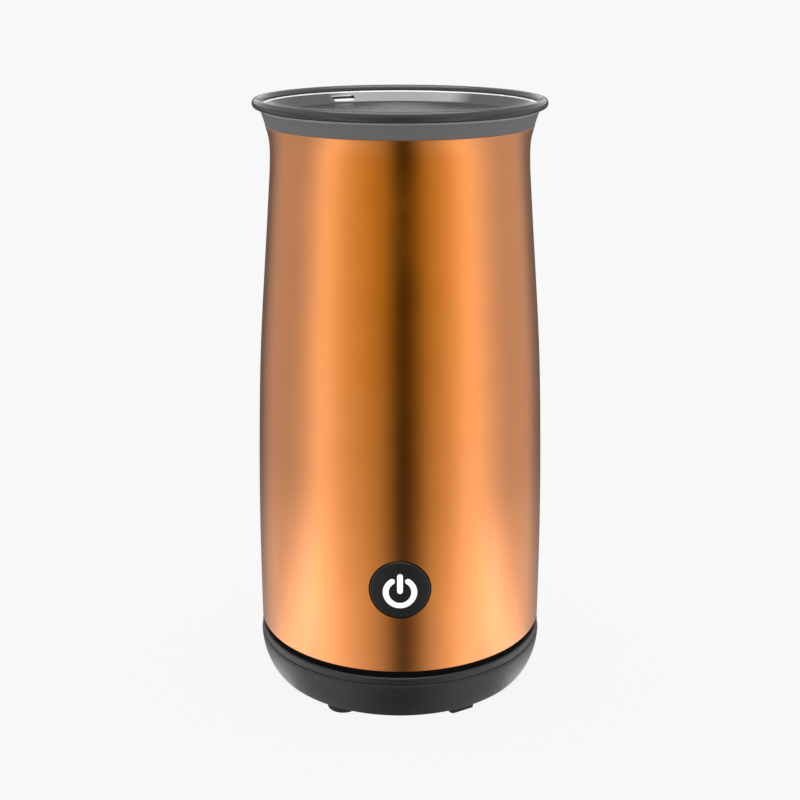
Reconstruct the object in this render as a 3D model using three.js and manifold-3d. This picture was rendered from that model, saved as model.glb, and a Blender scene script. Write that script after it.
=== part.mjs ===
// A jug milk frother: a tall metal-sleeved jug that stands on a round cordless power base.
// Milk goes into the inner pot. A motor under the pot turns a magnet carrier, which turns the
// whisk through the pot's floor. The lid lifts off, and the jug lifts off its base to pour.
//
// Millimetres, +Z up. The origin is on the table under the middle of the feet, and the front,
// with the push button, faces -Y. Each assembly is a group whose own zero is its underside.

import * as THREE from "three";
import { mergeVertices } from "three/addons/utils/BufferGeometryUtils.js";
import Module from "manifold-3d";

const wasm = await Module();
wasm.setup();

// ---------------------------------------------------------------- driving dimensions

const clearance = 0.3; // between pieces that touch, slide or screw together
const largeSides = 36; // sides of the big round pieces
const mediumSides = 20;
const smallSides = 10;

// Outside of the object
const bodyRadius = 51; // metal sleeve at its lower edge
const sleeveHeight = 177.3;
const sleeveWall = 0.8;
const neckInset = 7.35; // how much narrower the sleeve is at its neck than at its foot
const baseOverhang = 0.4; // how far the power base stands out past the sleeve
const baseHeight = 14.45; // power base, underside to rim
const footHeight = 2.8; // the rubber feet below the underside
const seamGap = 0.3; // between the jug and the power base
const bandHeight = 2.65; // black band round the foot of the jug
const grooveHeight = 2.55; // shadow groove between the band and the sleeve
const grooveDepth = 1.3;
const collarHeight = 5.05; // the part of the collar that shows above the sleeve
const collarFlare = 1.45; // how far the collar flares out past the top of the sleeve

// Lid
const lidOverhang = 2.75; // lid's rim past the collar
const beadRadius = 1.6; // round bead along the lid's rim
const beadRise = 2; // its middle above the collar
const rimLedge = 1.75; // from the bead's middle in to the top of the dish's side
const lidWall = 1.6;
const dishDepth = 3.55; // from the inner edge of the rim to the dish's floor
const dishSlope = 4.2; // how far the dish's side runs inwards on its way down
const plugDepth = 7; // skirt under the dish
const ventWidth = 8.8;
const ventHeight = 2;
const ventAngle = 118; // degrees round from +X, at the back and a little to the left
const sealSection = 2.4; // height of the lid's sealing ring

// Inner pot
const potWall = 0.8;
const potFlange = 1.6;
const potCorner = 7; // inside corner radius between the pot's wall and floor
const clampWidth = 1.3; // clamp ring under the pot's flange
const clampHeight = 2;
const insertWall = 1.3; // wall of the collar inside the sleeve
const insertDepth = 9.5;
const gasketHeight = 1.2;
const pinRadius = 1.6;
const pinHeight = 11;

// Whisk
const hubRadius = 15;
const hubHeight = 6.6;
const coilRadius = 2.4; // of one turn of the spring
const wireRadius = 0.45;
const coilTurns = 28;

// Drive under the pot
const motorRadius = 14;
const motorLength = 34;
const shaftRadius = 1.15;
const carrierRadius = 15;
const carrierHeight = 5.5;
const magnetRadius = 3.6;
const magnetHeight = 3;
const magnetOrbit = 8.6;
const magnetGap = 1.2; // from the carrier to the pot
const plateThickness = 2; // top plate of the chassis
const carrierRise = 3.2; // from that plate to the carrier
const heaterRadius = 2.4;
const studRadius = 1.5;
const legRadius = 4.2;

// Electronics in the foot of the jug
const coverThickness = 2.6;
const socketHeight = 12;
const socketRadius = 15.5;
const boardThickness = 1.6;
const boardRise = 2.6; // from the socket to the board
const motorRise = 8.5; // from the board to the motor

// Power base and its plug-in connector
const baseWall = 2.2;
const baseFootInset = 4.4; // the bowl's lower edge in from its widest line
const shoulderDrop = 0.85; // the bowl's widest line below its rim
const trayDrop = 0.8; // tray below the rim
const trayThickness = 1.8;
const screwPadHeight = 4.4; // pads in the bowl that the tray's screws pass through
const plugRadius = 9.4;
const plugHeight = 8.6; // above the tray
const socketGap = 0.6; // over and round the plug
const ledgeHeight = 2; // ledge of the jug's foot ring that its cover clamps
const ledgeWidth = 6;
const flangeRadius = 14;
const glandRadius = 4.2;
const cordRadius = 3.2;
const roundFootRadius = 5.6;
const longFootLength = 9.6;
const longFootWidth = 5;
const roundFootOrbit = 39.5;
const longFootOrbit = 41.4;
const footAngle = 30.5; // degrees from the front or back

// Push button
const buttonHeight = 35.65; // its centre above the jug's underside
const buttonRadius = 10.1;
const buttonProud = 0.3;
const buttonTravel = 1.2;
const buttonGap = 0.35; // round the cap
const buttonDepth = 6;
const buttonFaceThickness = 2.6;
const lensThickness = 1.4;
const plungerLength = 5.2;
const symbolRadius = 4.75; // middle of the power symbol's stroke
const symbolStroke = 1.95;
const symbolDrop = 0.8; // the symbol's centre below the button's
const symbolOpening = 34; // degrees each side of the top
const symbolBar = [-0.45, 6.7]; // ends of the bar from the symbol's centre

// ---------------------------------------------------------------- sizes that follow

const baseRadius = bodyRadius + baseOverhang;
const neckRadius = bodyRadius - neckInset;
const jugZ = footHeight + baseHeight + seamGap;
const sleeveZ = bandHeight + grooveHeight; // from here on heights are above the jug's underside
const sleeveTop = sleeveZ + sleeveHeight;
const collarTop = sleeveTop + clearance + collarHeight;

const insertRadius = neckRadius - sleeveWall - clearance;
const insertBore = insertRadius - insertWall;
const clampRadius = insertBore - clearance;
const potRadius = clampRadius - clampWidth - clearance;
const potBore = potRadius - potWall;
const collarShelf = sleeveTop + 0.7; // ring of the collar over the pot's flange
const collarShelfThickness = 1.2;
const studOrbit = potRadius - potWall - potCorner - 2.4;
const heaterOrbit = studOrbit - studRadius - heaterRadius - 1.4;
const sensorOrbit = carrierRadius + 3.1;
const legOrbit = bodyRadius - sleeveWall - legRadius - 9;
const flangeTop = collarShelf - collarShelfThickness - gasketHeight - 0.1;

const plugTop = plugHeight - trayDrop - seamGap;
const socketRoof = plugTop + socketGap;
const coverTop = 0.4 + coverThickness;
const coverRadius = bodyRadius - 5;
const boardRadius = legOrbit - legRadius - clearance;
const socketTop = coverThickness + socketHeight;
const boardZ = socketTop + boardRise;
const motorZ = boardZ + boardThickness + motorRise;
const plateZ = motorZ + motorLength + clearance;
const pocket = bodyRadius - buttonFaceThickness; // back of the cap's face, out from the axis
const lensBack = pocket - clearance - lensThickness;
const plungerBack = lensBack - clearance - plungerLength;
const carrierZ = plateZ + plateThickness + carrierRise;
const potZ = carrierZ + carrierHeight + magnetGap; // underside of the pot
const potFloor = potZ + potWall;

// ---------------------------------------------------------------- helpers

const degrees = THREE.MathUtils.degToRad;

function toSolid(geometry) {
  const bare = geometry.index ? geometry.toNonIndexed() : geometry.clone();
  bare.deleteAttribute("normal");
  bare.deleteAttribute("uv");
  const merged = mergeVertices(bare, 1e-4);
  const vertProperties = merged.attributes.position.array;
  const triVerts = new Uint32Array(merged.index.array);
  return new wasm.Manifold(new wasm.Mesh({ numProp: 3, vertProperties, triVerts }));
}

function toGeometry(solid) {
  const mesh = solid.getMesh();
  const geometry = new THREE.BufferGeometry();
  geometry.setAttribute("position", new THREE.BufferAttribute(mesh.vertProperties, mesh.numProp));
  geometry.setIndex(new THREE.BufferAttribute(mesh.triVerts, 1));
  return geometry;
}

const cut = (body, ...tools) =>
  toGeometry(tools.reduce((rest, tool) => rest.subtract(toSolid(tool)), toSolid(body)));
const join = (first, ...others) =>
  toGeometry(others.reduce((whole, other) => whole.add(toSolid(other)), toSolid(first)));
const intersect = (a, b) => toGeometry(toSolid(a).intersect(toSolid(b)));

// Turns a closed outline of [radius, height] points about the Z axis.
function revolve(outline, sides = largeSides) {
  const points = outline.map(([r, z]) => new THREE.Vector2(r, z));
  if (THREE.ShapeUtils.area(points) < 0) points.reverse();
  const closesOnAxis = points.filter((p) => p.x === 0).length === 2;
  if (closesOnAxis) {
    while (points[0].x !== 0 || points.at(-1).x !== 0) points.push(points.shift());
  } else {
    points.push(points[0].clone());
  }
  return new THREE.LatheGeometry(points, sides).rotateX(Math.PI / 2);
}

// A cylinder standing on z, with its axis at (x, y).
function cylinder(radius, z, height, sides = mediumSides, x = 0, y = 0) {
  return new THREE.CylinderGeometry(radius, radius, height, sides)
    .rotateX(Math.PI / 2)
    .translate(x, y, z + height / 2);
}

// A cone or taper from radius r0 at z to r1 at z + height.
function taper(r0, r1, z, height, sides = mediumSides, x = 0, y = 0) {
  return new THREE.CylinderGeometry(r1, r0, height, sides)
    .rotateX(Math.PI / 2)
    .translate(x, y, z + height / 2);
}

function ring(inner, outer, z, height, sides = largeSides) {
  return revolve(
    [
      [inner, z],
      [outer, z],
      [outer, z + height],
      [inner, z + height],
    ],
    sides,
  );
}

// A box centred on (x, y) and standing on z.
function block(width, depth, height, x, y, z) {
  return new THREE.BoxGeometry(width, depth, height).translate(x, y, z + height / 2);
}

// A flat shape in X and Y pulled up from z.
function slab(shape, z, height, steps = 6) {
  const options = { depth: height, bevelEnabled: false, curveSegments: steps };
  return new THREE.ExtrudeGeometry(shape, options).translate(0, 0, z);
}

// Points along an arc, in the [radius, height] plane.
function arc(cx, cz, radius, from, to, steps) {
  return Array.from({ length: steps + 1 }, (_, i) => {
    const a = degrees(from + ((to - from) * i) / steps);
    return [cx + radius * Math.cos(a), cz + radius * Math.sin(a)];
  });
}

// A slot-ended bar, length end to end, along X.
function slotShape(length, width) {
  const half = length / 2 - width / 2;
  const shape = new THREE.Shape();
  shape.absarc(half, 0, width / 2, -Math.PI / 2, Math.PI / 2);
  shape.absarc(-half, 0, width / 2, Math.PI / 2, (3 * Math.PI) / 2);
  return shape;
}

// Turns a piece that stands on z = 0 to lie along +Y from y, with its axis at height z.
const alongY = (geometry, y, z) => geometry.rotateX(-Math.PI / 2).translate(0, y, z);

const polar = (radius, angle) => [
  radius * Math.cos(degrees(angle)),
  radius * Math.sin(degrees(angle)),
];

const thirds = [30, 150, 270]; // angles of the three-way patterns, with one at the front
const legAngles = thirds.map((a) => a + 60); // legs stay clear of the button at the front
const screwPlaces = thirds.map((a) => polar(29, a)); // of the power base
const studPlaces = thirds.map((a) => polar(studOrbit, a));
const studFoot = plateZ - 3.2;
const legPlaces = legAngles.map((a) => polar(legOrbit, a));
const glandHeight = (baseWall + baseHeight - trayDrop - trayThickness) / 2;

const finishes = {
  copper: { color: 0xd9803e, metalness: 1, roughness: 0.25 },
  blackPlastic: { color: 0x2b2b2c, metalness: 0, roughness: 0.5 },
  greyPlastic: { color: 0x646566, metalness: 0, roughness: 0.6 },
  paleNylon: { color: 0xd8d5cc, metalness: 0, roughness: 0.6 },
  smokedPlastic: { color: 0x55565a, metalness: 0, roughness: 0.1, opacity: 0.5, transparent: true },
  rubber: { color: 0x1c1c1d, metalness: 0, roughness: 0.85 },
  silicone: { color: 0x8a8c8e, metalness: 0, roughness: 0.7 },
  steel: { color: 0xb8babd, metalness: 1, roughness: 0.3 },
  nonStick: { color: 0x3a3b3d, metalness: 0.2, roughness: 0.5 },
  brass: { color: 0xc9a24a, metalness: 1, roughness: 0.3 },
  magnet: { color: 0x8c8d90, metalness: 1, roughness: 0.25 },
  circuitBoard: { color: 0x1d6b3a, metalness: 0, roughness: 0.5 },
  lamp: { color: 0xf4f4f4, metalness: 0, roughness: 0.3 },
};

function piece(name, geometry, finish) {
  const mesh = new THREE.Mesh(geometry, new THREE.MeshStandardMaterial(finishes[finish]));
  mesh.name = name;
  return mesh;
}

// A countersunk-free pan screw pointing up, with its head's top at z = 0.
function panScrew(name, shankRadius, length, at) {
  const head = cylinder(shankRadius * 1.9, 0, 1.4, smallSides);
  const shank = cylinder(shankRadius, 1.2, length, smallSides);
  const recess = cylinder(shankRadius * 0.8, -1, 1.8, 6);
  const screw = piece(name, cut(join(head, shank), recess), "steel");
  screw.position.set(...at);
  return screw;
}

// ---------------------------------------------------------------- outline of the sleeve

// Upright at the foot, drawn in to a neck under the rim, and opening again at the top.
const sleeveCurve = new THREE.SplineCurve(
  [
    [0, 0],
    [0.14, 0],
    [0.41, 0.14],
    [0.69, 0.53],
    [0.88, 0.915],
    [0.95, 1],
    [1, 0.81],
  ].map(([share, inset]) => new THREE.Vector2(bodyRadius - neckInset * inset, sleeveHeight * share)),
);
const sleeveOutline = sleeveCurve.getSpacedPoints(10).map((p) => [p.x, p.y]);
const sleeveTopRadius = sleeveOutline.at(-1)[0];
const collarRadius = sleeveTopRadius + collarFlare;

// ---------------------------------------------------------------- power base

// Outside of the bowl from its foot to its rim: a superellipse, steep at first and upright above.
function bowlOutline(inset, steps) {
  const drop = baseHeight - shoulderDrop - 0.8;
  const wall = Array.from({ length: steps + 1 }, (_, i) => {
    const depth = Math.cos((Math.PI / 2) * (i / steps));
    const share = (1 - depth ** 1.76) ** (1 / 1.28);
    return [baseRadius - baseFootInset * (1 - share) - inset, 0.8 + drop * (1 - depth)];
  });
  return [...wall, [baseRadius - 0.35 - inset, baseHeight]];
}

function baseBowl() {
  const outside = bowlOutline(0, 6);
  const ledge = baseHeight - trayDrop - trayThickness;
  const inside = bowlOutline(baseWall, 3).filter(([, z]) => z > baseWall && z < ledge);
  const shell = revolve([
    [0, 0],
    [outside[0][0] - 1.1, 0],
    ...outside,
    [baseRadius - baseWall, baseHeight],
    [baseRadius - baseWall, ledge],
    ...inside.reverse(),
    [inside.at(-1)[0] - 1.5, baseWall],
    [0, baseWall],
  ]);
  const pads = screwPlaces.map((at) => cylinder(4.6, 1, screwPadHeight - 1, smallSides, ...at));
  const holes = screwPlaces.map((at) => cylinder(1.9, -1, 8, smallSides, ...at));
  const heads = screwPlaces.map((at) => cylinder(3.4, -1, 3.6, smallSides, ...at));
  const cordHole = alongY(cylinder(glandRadius, 0, 14), baseRadius - 10, glandHeight);
  return piece("base_bowl", cut(join(shell, ...pads), ...holes, ...heads, cordHole), "blackPlastic");
}

function baseTray() {
  const rim = baseRadius - baseWall - clearance;
  const top = baseHeight - trayDrop;
  const under = top - trayThickness;
  const plate = revolve([
    [flangeRadius + clearance, under],
    [rim, under],
    [rim, baseHeight - 0.4],
    [rim - 1.6, baseHeight - 0.4],
    [rim - 2.2, top],
    [flangeRadius + clearance, top],
  ]);
  const bossFoot = screwPadHeight + clearance;
  const bosses = screwPlaces.map((at) => cylinder(3.4, bossFoot, under + 0.5 - bossFoot, smallSides, ...at));
  const pilots = screwPlaces.map((at) => cylinder(1.6, 0, under, smallSides, ...at));
  return piece("base_tray", cut(join(plate, ...bosses), ...pilots), "blackPlastic");
}

const baseScrews = () => screwPlaces.map((at, i) => panScrew(`base_screw_${i + 1}`, 1.5, 8, [...at, 0.8]));

// The plug half of the 360 degree connector: a boss with a middle hole and a ring-shaped slot.
function baseConnector() {
  const seat = baseHeight - trayDrop - trayThickness - clearance;
  const top = baseHeight - trayDrop + plugHeight;
  const body = revolve(
    [
      [0, baseWall + clearance],
      [flangeRadius + 2.5, baseWall + clearance],
      [flangeRadius + 2.5, seat],
      [flangeRadius, seat],
      [flangeRadius, baseHeight - trayDrop + 0.6],
      [plugRadius, baseHeight - trayDrop + 0.6],
      [plugRadius, top - 0.8],
      [plugRadius - 0.8, top],
      [6.4, top],
      [6.4, top - 6],
      [4.6, top - 6],
      [4.6, top],
      [2.2, top],
      [2.2, top - 7],
      [0, top - 7],
    ],
    mediumSides,
  );
  return piece("base_connector", body, "blackPlastic");
}

function baseContacts() {
  const top = baseHeight - trayDrop + plugHeight;
  return [
    piece("base_ring_contact", ring(4.9, 5.3, top - 5.7, 4.2, mediumSides), "brass"),
    piece("base_centre_contact", ring(1.75, 1.95, top - 6.7, 4.4, smallSides), "brass"),
  ];
}

// Grommet in the back of the bowl that the supply cord goes through.
function cordGland() {
  const wallInside = baseRadius - baseWall - 2;
  const body = revolve(
    [
      [cordRadius, wallInside - 3],
      [glandRadius + 0.4, wallInside - 3],
      [glandRadius + 0.4, wallInside - 1.6],
      [glandRadius - clearance, wallInside - 1.6],
      [glandRadius - clearance, baseRadius],
      [cordRadius + 0.4, baseRadius],
      [cordRadius, baseRadius - 0.4],
    ],
    mediumSides,
  );
  return piece("cord_gland", alongY(body, 0, glandHeight), "rubber");
}

// Two round feet and two straight ones, each with a softened lower edge, placed corner to corner.
function feet() {
  const soften = 0.9;
  const round = revolve(
    [
      [0, -footHeight],
      [roundFootRadius - soften, -footHeight],
      [roundFootRadius - 0.3, -footHeight + 0.3],
      [roundFootRadius, -footHeight + soften],
      [roundFootRadius, -clearance],
      [0, -clearance],
    ],
    mediumSides,
  );
  const long = new THREE.ExtrudeGeometry(slotShape(longFootLength - 1, longFootWidth - 1), {
    depth: footHeight - clearance - soften,
    bevelThickness: soften,
    bevelSize: 0.5,
    bevelSegments: 2,
    curveSegments: 5,
  });
  const straight = intersect(
    long.translate(0, 0, -footHeight + soften),
    block(60, 60, footHeight - clearance, 0, 0, -footHeight),
  );
  const places = [
    ["foot_front_left", round, roundFootOrbit, 270 - footAngle],
    ["foot_front_right", straight, longFootOrbit, 270 + footAngle],
    ["foot_back_right", round, roundFootOrbit, 90 - footAngle],
    ["foot_back_left", straight, longFootOrbit, 90 + footAngle],
  ];
  return places.map(([name, geometry, orbit, angle]) => {
    const foot = piece(name, geometry, "rubber");
    foot.position.set(...polar(orbit, angle), 0);
    foot.rotation.z = degrees(angle + 90);
    return foot;
  });
}

function powerBase() {
  const group = new THREE.Group();
  group.position.z = footHeight;
  group.add(
    baseBowl(),
    baseTray(),
    ...baseScrews(),
    baseConnector(),
    ...baseContacts(),
    cordGland(),
    ...feet(),
  );
  return group;
}

// ---------------------------------------------------------------- jug: shells and pot

// Geometry that stands on the front of the jug, with its own +Z pointing out of the front.
function facingFront(...meshes) {
  const group = new THREE.Group();
  group.position.z = buttonHeight;
  group.rotation.x = Math.PI / 2;
  group.add(...meshes);
  return group;
}

function outerSleeve() {
  const inside = sleeveOutline.map(([r, z]) => [r - sleeveWall, z]);
  const shell = revolve([...sleeveOutline, ...inside.reverse()]).translate(0, 0, sleeveZ);
  const opening = cylinder(buttonRadius + buttonGap, 0, bodyRadius + 5, mediumSides)
    .rotateX(Math.PI / 2)
    .translate(0, 0, buttonHeight);
  return piece("outer_sleeve", cut(shell, opening), "copper");
}

// Ring at the foot of the jug: the band that shows, the shadow groove, and a spigot in the sleeve.
function jugBaseRing() {
  const spigot = bodyRadius - sleeveWall - clearance;
  const groove = bodyRadius - grooveDepth;
  const bore = spigot - 1.8;
  const ledge = coverTop + clearance;
  const body = revolve([
    [coverRadius + clearance, 0],
    [bodyRadius - 0.3, 0],
    [bodyRadius + 0.1, bandHeight / 2],
    [bodyRadius - 0.3, bandHeight],
    [groove, bandHeight],
    [groove, sleeveZ],
    [spigot, sleeveZ],
    [spigot, sleeveZ + 7],
    [bore, sleeveZ + 7],
    [bore, ledge + ledgeHeight],
    [bore - ledgeWidth, ledge + ledgeHeight],
    [bore - ledgeWidth, ledge],
    [coverRadius + clearance, ledge],
  ]);
  return piece("jug_base_ring", body, "blackPlastic");
}

function jugBottomCover() {
  const disc = ring(socketRadius + clearance, coverRadius, 0.4, coverThickness);
  const holes = legPlaces.map((at) => cylinder(1.9, -1, 5, smallSides, ...at));
  const heads = legPlaces.map((at) => cylinder(3.4, -1, 3, smallSides, ...at));
  return piece("jug_bottom_cover", cut(disc, ...holes, ...heads), "blackPlastic");
}

// The socket half of the connector. It comes down over the base's plug.
function jugConnector() {
  const bore = plugRadius + socketGap;
  const body = revolve(
    [
      [bore, 0.4],
      [socketRadius, 0.4],
      [socketRadius, coverTop],
      [socketRadius - 1.5, coverTop + 0.4],
      [socketRadius - 1.5, socketTop],
      [0, socketTop],
      [0, socketRoof],
      [bore, socketRoof],
    ],
    mediumSides,
  );
  return piece("jug_connector", body, "blackPlastic");
}

function jugContacts() {
  const top = socketRoof - clearance;
  return [
    piece("jug_ring_contact", ring(5.65, 6.05, top - 4.6, 4.6, mediumSides), "brass"),
    piece("jug_centre_pin", cylinder(1.1, top - 5, 5, smallSides), "brass"),
  ];
}

// Flared ring round the mouth. Its seat takes the lid, and its wall goes down inside the sleeve.
function collarRing() {
  const rim = collarRadius;
  const seatRun = lidSeatRun();
  const body = revolve([
    [potBore + clearance, collarShelf - collarShelfThickness],
    [insertBore, collarShelf - collarShelfThickness],
    [insertBore, sleeveTop - insertDepth],
    [insertRadius, sleeveTop - insertDepth],
    [insertRadius, sleeveTop + clearance],
    [sleeveTopRadius + 0.1, sleeveTop + clearance],
    [sleeveTopRadius + collarFlare * 0.3, sleeveTop + clearance + collarHeight * 0.45],
    [rim, collarTop - 0.3],
    [rim - 0.3, collarTop],
    [rim - 0.7, collarTop],
    [rim - 0.7 - seatRun, collarShelf],
    [potBore + clearance, collarShelf],
  ]);
  return piece("collar_ring", body, "greyPlastic");
}

function innerPot() {
  const corner = potCorner + potWall;
  const flangeRadiusOut = clampRadius - clearance;
  const under = flangeTop - potFlange / 2;
  const body = revolve([
    [0, potZ],
    ...arc(potRadius - corner, potZ + corner, corner, 270, 360, 3),
    [potRadius, under],
    [flangeRadiusOut, under],
    [flangeRadiusOut, flangeTop],
    [potBore + 0.6, flangeTop],
    [potBore, flangeTop - 0.6],
    ...arc(potBore - potCorner, potFloor + potCorner, potCorner, 360, 270, 3),
    [0, potFloor],
  ]);
  const studs = studPlaces.map((at) => cylinder(studRadius, studFoot, potZ + 0.4 - studFoot, smallSides, ...at));
  return piece("inner_pot", join(body, ...studs), "nonStick");
}

function potRings() {
  const flangeRadiusOut = clampRadius - clearance;
  const gasket = ring(potBore + 0.9, flangeRadiusOut, flangeTop + 0.05, gasketHeight);
  const clampTop = flangeTop - potFlange / 2 - clearance / 3;
  const clamp = ring(potRadius + clearance, clampRadius, clampTop - clampHeight, clampHeight);
  return [piece("pot_gasket", gasket, "silicone"), piece("pot_clamp_ring", clamp, "blackPlastic")];
}

// Pin welded to the middle of the pot's floor, which the whisk spins on.
function whiskPin() {
  const body = revolve(
    [
      [0, 0],
      [pinRadius + 1.2, 0],
      [pinRadius + 1.2, 0.4],
      [pinRadius, 0.8],
      [pinRadius, pinHeight - 0.8],
      [pinRadius - 0.7, pinHeight],
      [0, pinHeight],
    ],
    smallSides,
  );
  const pin = piece("whisk_pin", body, "steel");
  pin.position.z = potFloor + clearance / 3;
  return pin;
}

// ---------------------------------------------------------------- jug: drive and electronics

// Frame under the pot: a plate that carries the motor, and three legs down to the cover.
function innerChassis() {
  const legFoot = coverTop + clearance;
  const plate = cylinder(legOrbit + 2, plateZ, plateThickness, largeSides);
  const legs = legPlaces.map((at) => cylinder(legRadius, legFoot, plateZ + 1 - legFoot, smallSides, ...at));
  const lip = ring(motorRadius + clearance, motorRadius + 1.8, plateZ - 6, 6.5, mediumSides);
  const screwHoles = legPlaces.map((at) => cylinder(1.6, 0, 16, smallSides, ...at));
  const shaftHole = cylinder(4.4, plateZ - 1, plateThickness + 2);
  const studHoles = studPlaces.map((at) => cylinder(studRadius + clearance, plateZ - 1, 8, smallSides, ...at));
  const sensorHole = cylinder(1.9 + clearance, plateZ - 1, 8, smallSides, sensorOrbit);
  const body = cut(join(plate, ...legs, lip), ...screwHoles, shaftHole, ...studHoles, sensorHole);
  return piece("inner_chassis", body, "paleNylon");
}

function motor() {
  const can = revolve(
    [
      [0, 3],
      [motorRadius, 3],
      [motorRadius, motorLength - 1],
      [motorRadius - 1, motorLength],
      [3.4, motorLength],
      [3.4, motorLength + 1.6],
      [shaftRadius + clearance, motorLength + 1.6],
      [shaftRadius + clearance, motorLength - 9],
      [0, motorLength - 9],
    ],
    mediumSides,
  );
  const cap = revolve(
    [
      [0, 0.6],
      [4, 0.6],
      [4, 0],
      [motorRadius - 1.5, 0],
      [motorRadius - 0.5, 1],
      [motorRadius - 0.5, 3 - clearance / 3],
      [0, 3 - clearance / 3],
    ],
    mediumSides,
  );
  const tabs = [-1, 1].map((side) => block(0.6, 3, 4, side * 8, 0, -3.5));
  const meshes = [
    piece("motor_can", can, "steel"),
    piece("motor_end_cap", join(cap, ...tabs), "blackPlastic"),
  ];
  meshes.forEach((mesh) => (mesh.position.z = motorZ));
  return meshes;
}

function potNuts() {
  return studPlaces.map(([x, y], i) => {
    const hole = cylinder(studRadius + clearance / 3, -1, 5, smallSides);
    const nut = piece(`pot_nut_${i + 1}`, cut(cylinder(2.9, 0, 2.2, 6), hole), "steel");
    nut.position.set(x, y, plateZ - clearance / 3 - 2.2);
    return nut;
  });
}

// Sheathed heating ring against the pot's underside, open at the back where its two ends turn down.
function heatingElement() {
  const opening = 22;
  const points = Array.from({ length: 25 }, (_, i) => {
    const [x, y] = polar(heaterOrbit, 90 + opening / 2 + ((360 - opening) * i) / 24);
    return new THREE.Vector3(x, y, 0);
  });
  const extrudePath = new THREE.CatmullRomCurve3(points);
  const section = new THREE.Shape().absarc(0, 0, heaterRadius, 0, 2 * Math.PI);
  const tube = new THREE.ExtrudeGeometry(section, { steps: 24, curveSegments: 4, extrudePath });
  const ends = [points[0], points.at(-1)].map((p) => cylinder(1.5, -5, 5, smallSides, p.x, p.y));
  const element = piece("heating_element", join(tube, ...ends), "steel");
  element.position.z = potZ - clearance - heaterRadius;
  return element;
}

function temperatureSensor() {
  const foot = plateZ - 2.6;
  const tip = cylinder(1.4, foot, potZ - clearance / 3 - foot, smallSides, sensorOrbit);
  const collar = cylinder(1.9, foot, plateThickness + 3.2, smallSides, sensorOrbit);
  return piece("temperature_sensor", join(tip, collar), "brass");
}

function thermalCutout() {
  const z = plateZ + plateThickness + clearance / 3;
  const [x, y] = polar(31, 210);
  const body = join(cylinder(4.4, z, 2.2, mediumSides, x, y), block(11, 3, 0.8, x, y, z));
  return piece("thermal_cutout", body, "steel");
}

function mainBoard() {
  const board = cylinder(boardRadius, boardZ, boardThickness, mediumSides);
  const top = boardZ + boardThickness;
  const partsZ = top + clearance / 3;
  return [
    piece("main_circuit_board", board, "circuitBoard"),
    piece("relay", block(10, 15, 12, 21, 6, partsZ), "blackPlastic"),
    piece("capacitor", cylinder(4, partsZ, 13, mediumSides, -20, 8), "blackPlastic"),
    piece("choke_coil", ring(2.2, 5, partsZ, 5, mediumSides).translate(-6, 22, 0), "brass"),
  ];
}

function jugScrews() {
  return legPlaces.map((at, i) => panScrew(`cover_screw_${i + 1}`, 1.5, 9, [...at, 0.5]));
}

function rotor() {
  const shaft = cylinder(shaftRadius, motorZ + motorLength - 8, carrierZ + carrierHeight - 1.2 - motorZ - motorLength + 8, smallSides);
  const disc = revolve(
    [
      [shaftRadius + clearance, -1.6],
      [3.6, -1.6],
      [3.6, 0],
      [carrierRadius, 0],
      [carrierRadius, carrierHeight],
      [shaftRadius + clearance, carrierHeight],
    ],
    mediumSides,
  );
  const pockets = [0, 180].map((a) => cylinder(magnetRadius + clearance, carrierHeight - magnetHeight - clearance, 9, smallSides, ...polar(magnetOrbit, a)));
  const carrier = piece("drive_magnet_carrier", cut(disc, ...pockets), "paleNylon");
  carrier.position.z = carrierZ;
  const magnets = [0, 180].map((a, i) =>
    piece(`drive_magnet_${i + 1}`, cylinder(magnetRadius, carrierZ + carrierHeight - magnetHeight, magnetHeight, smallSides, ...polar(magnetOrbit, a)), "magnet"),
  );
  return [piece("motor_shaft", shaft, "steel"), carrier, ...magnets];
}

// ---------------------------------------------------------------- push button

// Rounds the front of a flat piece to the curve of the sleeve, standing proud by the given amount.
function curvedFront(geometry, proud) {
  const face = bodyRadius + proud;
  return intersect(geometry, new THREE.CylinderGeometry(face, face, 60, largeSides * 2));
}

// Power symbol as solids from z0 to z1, with its stroke made wider all round by grow.
function powerSymbol(z0, z1, grow) {
  const half = symbolStroke / 2 + grow;
  const from = 90 + symbolOpening;
  const sweep = 360 - 2 * symbolOpening;
  const arcShape = new THREE.Shape();
  arcShape.absarc(0, 0, symbolRadius + half, degrees(from), degrees(from + sweep), false);
  arcShape.absarc(...polar(symbolRadius, from + sweep), half, degrees(from + sweep), degrees(from + sweep + 180), false);
  arcShape.absarc(0, 0, symbolRadius - half, degrees(from + sweep), degrees(from), true);
  arcShape.absarc(...polar(symbolRadius, from), half, degrees(from + 180), degrees(from + 360), false);
  const [low, high] = symbolBar;
  const bar = slab(slotShape(high - low + 2 * grow, 2 * half), z0, z1 - z0, 4)
    .rotateZ(Math.PI / 2)
    .translate(0, (low + high) / 2, 0);
  return [slab(arcShape, z0, z1 - z0, 10), bar].map((g) => g.translate(0, -symbolDrop, 0));
}

function buttonPieces() {
  const face = bodyRadius + 1;
  const back = bodyRadius - buttonDepth;
  const blank = cylinder(buttonRadius, back, face - back, mediumSides);
  const hollow = cylinder(buttonRadius - 1.3, back - 1, pocket - back + 1, mediumSides);
  const windows = powerSymbol(pocket - 1, face + 1, clearance);
  const cap = curvedFront(cut(blank, hollow, ...windows), buttonProud);

  const plate = cylinder(buttonRadius - 1.3 - clearance, lensBack, 1.4, mediumSides);
  const lens = curvedFront(join(plate, ...powerSymbol(lensBack + 0.5, face, 0)), buttonProud);

  const plunger = cylinder(1.7, plungerBack, plungerLength, smallSides);
  return [
    piece("button_cap", cap, "blackPlastic"),
    piece("symbol_lens", lens, "lamp"),
    piece("switch_plunger", plunger, "blackPlastic"),
  ];
}

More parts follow.
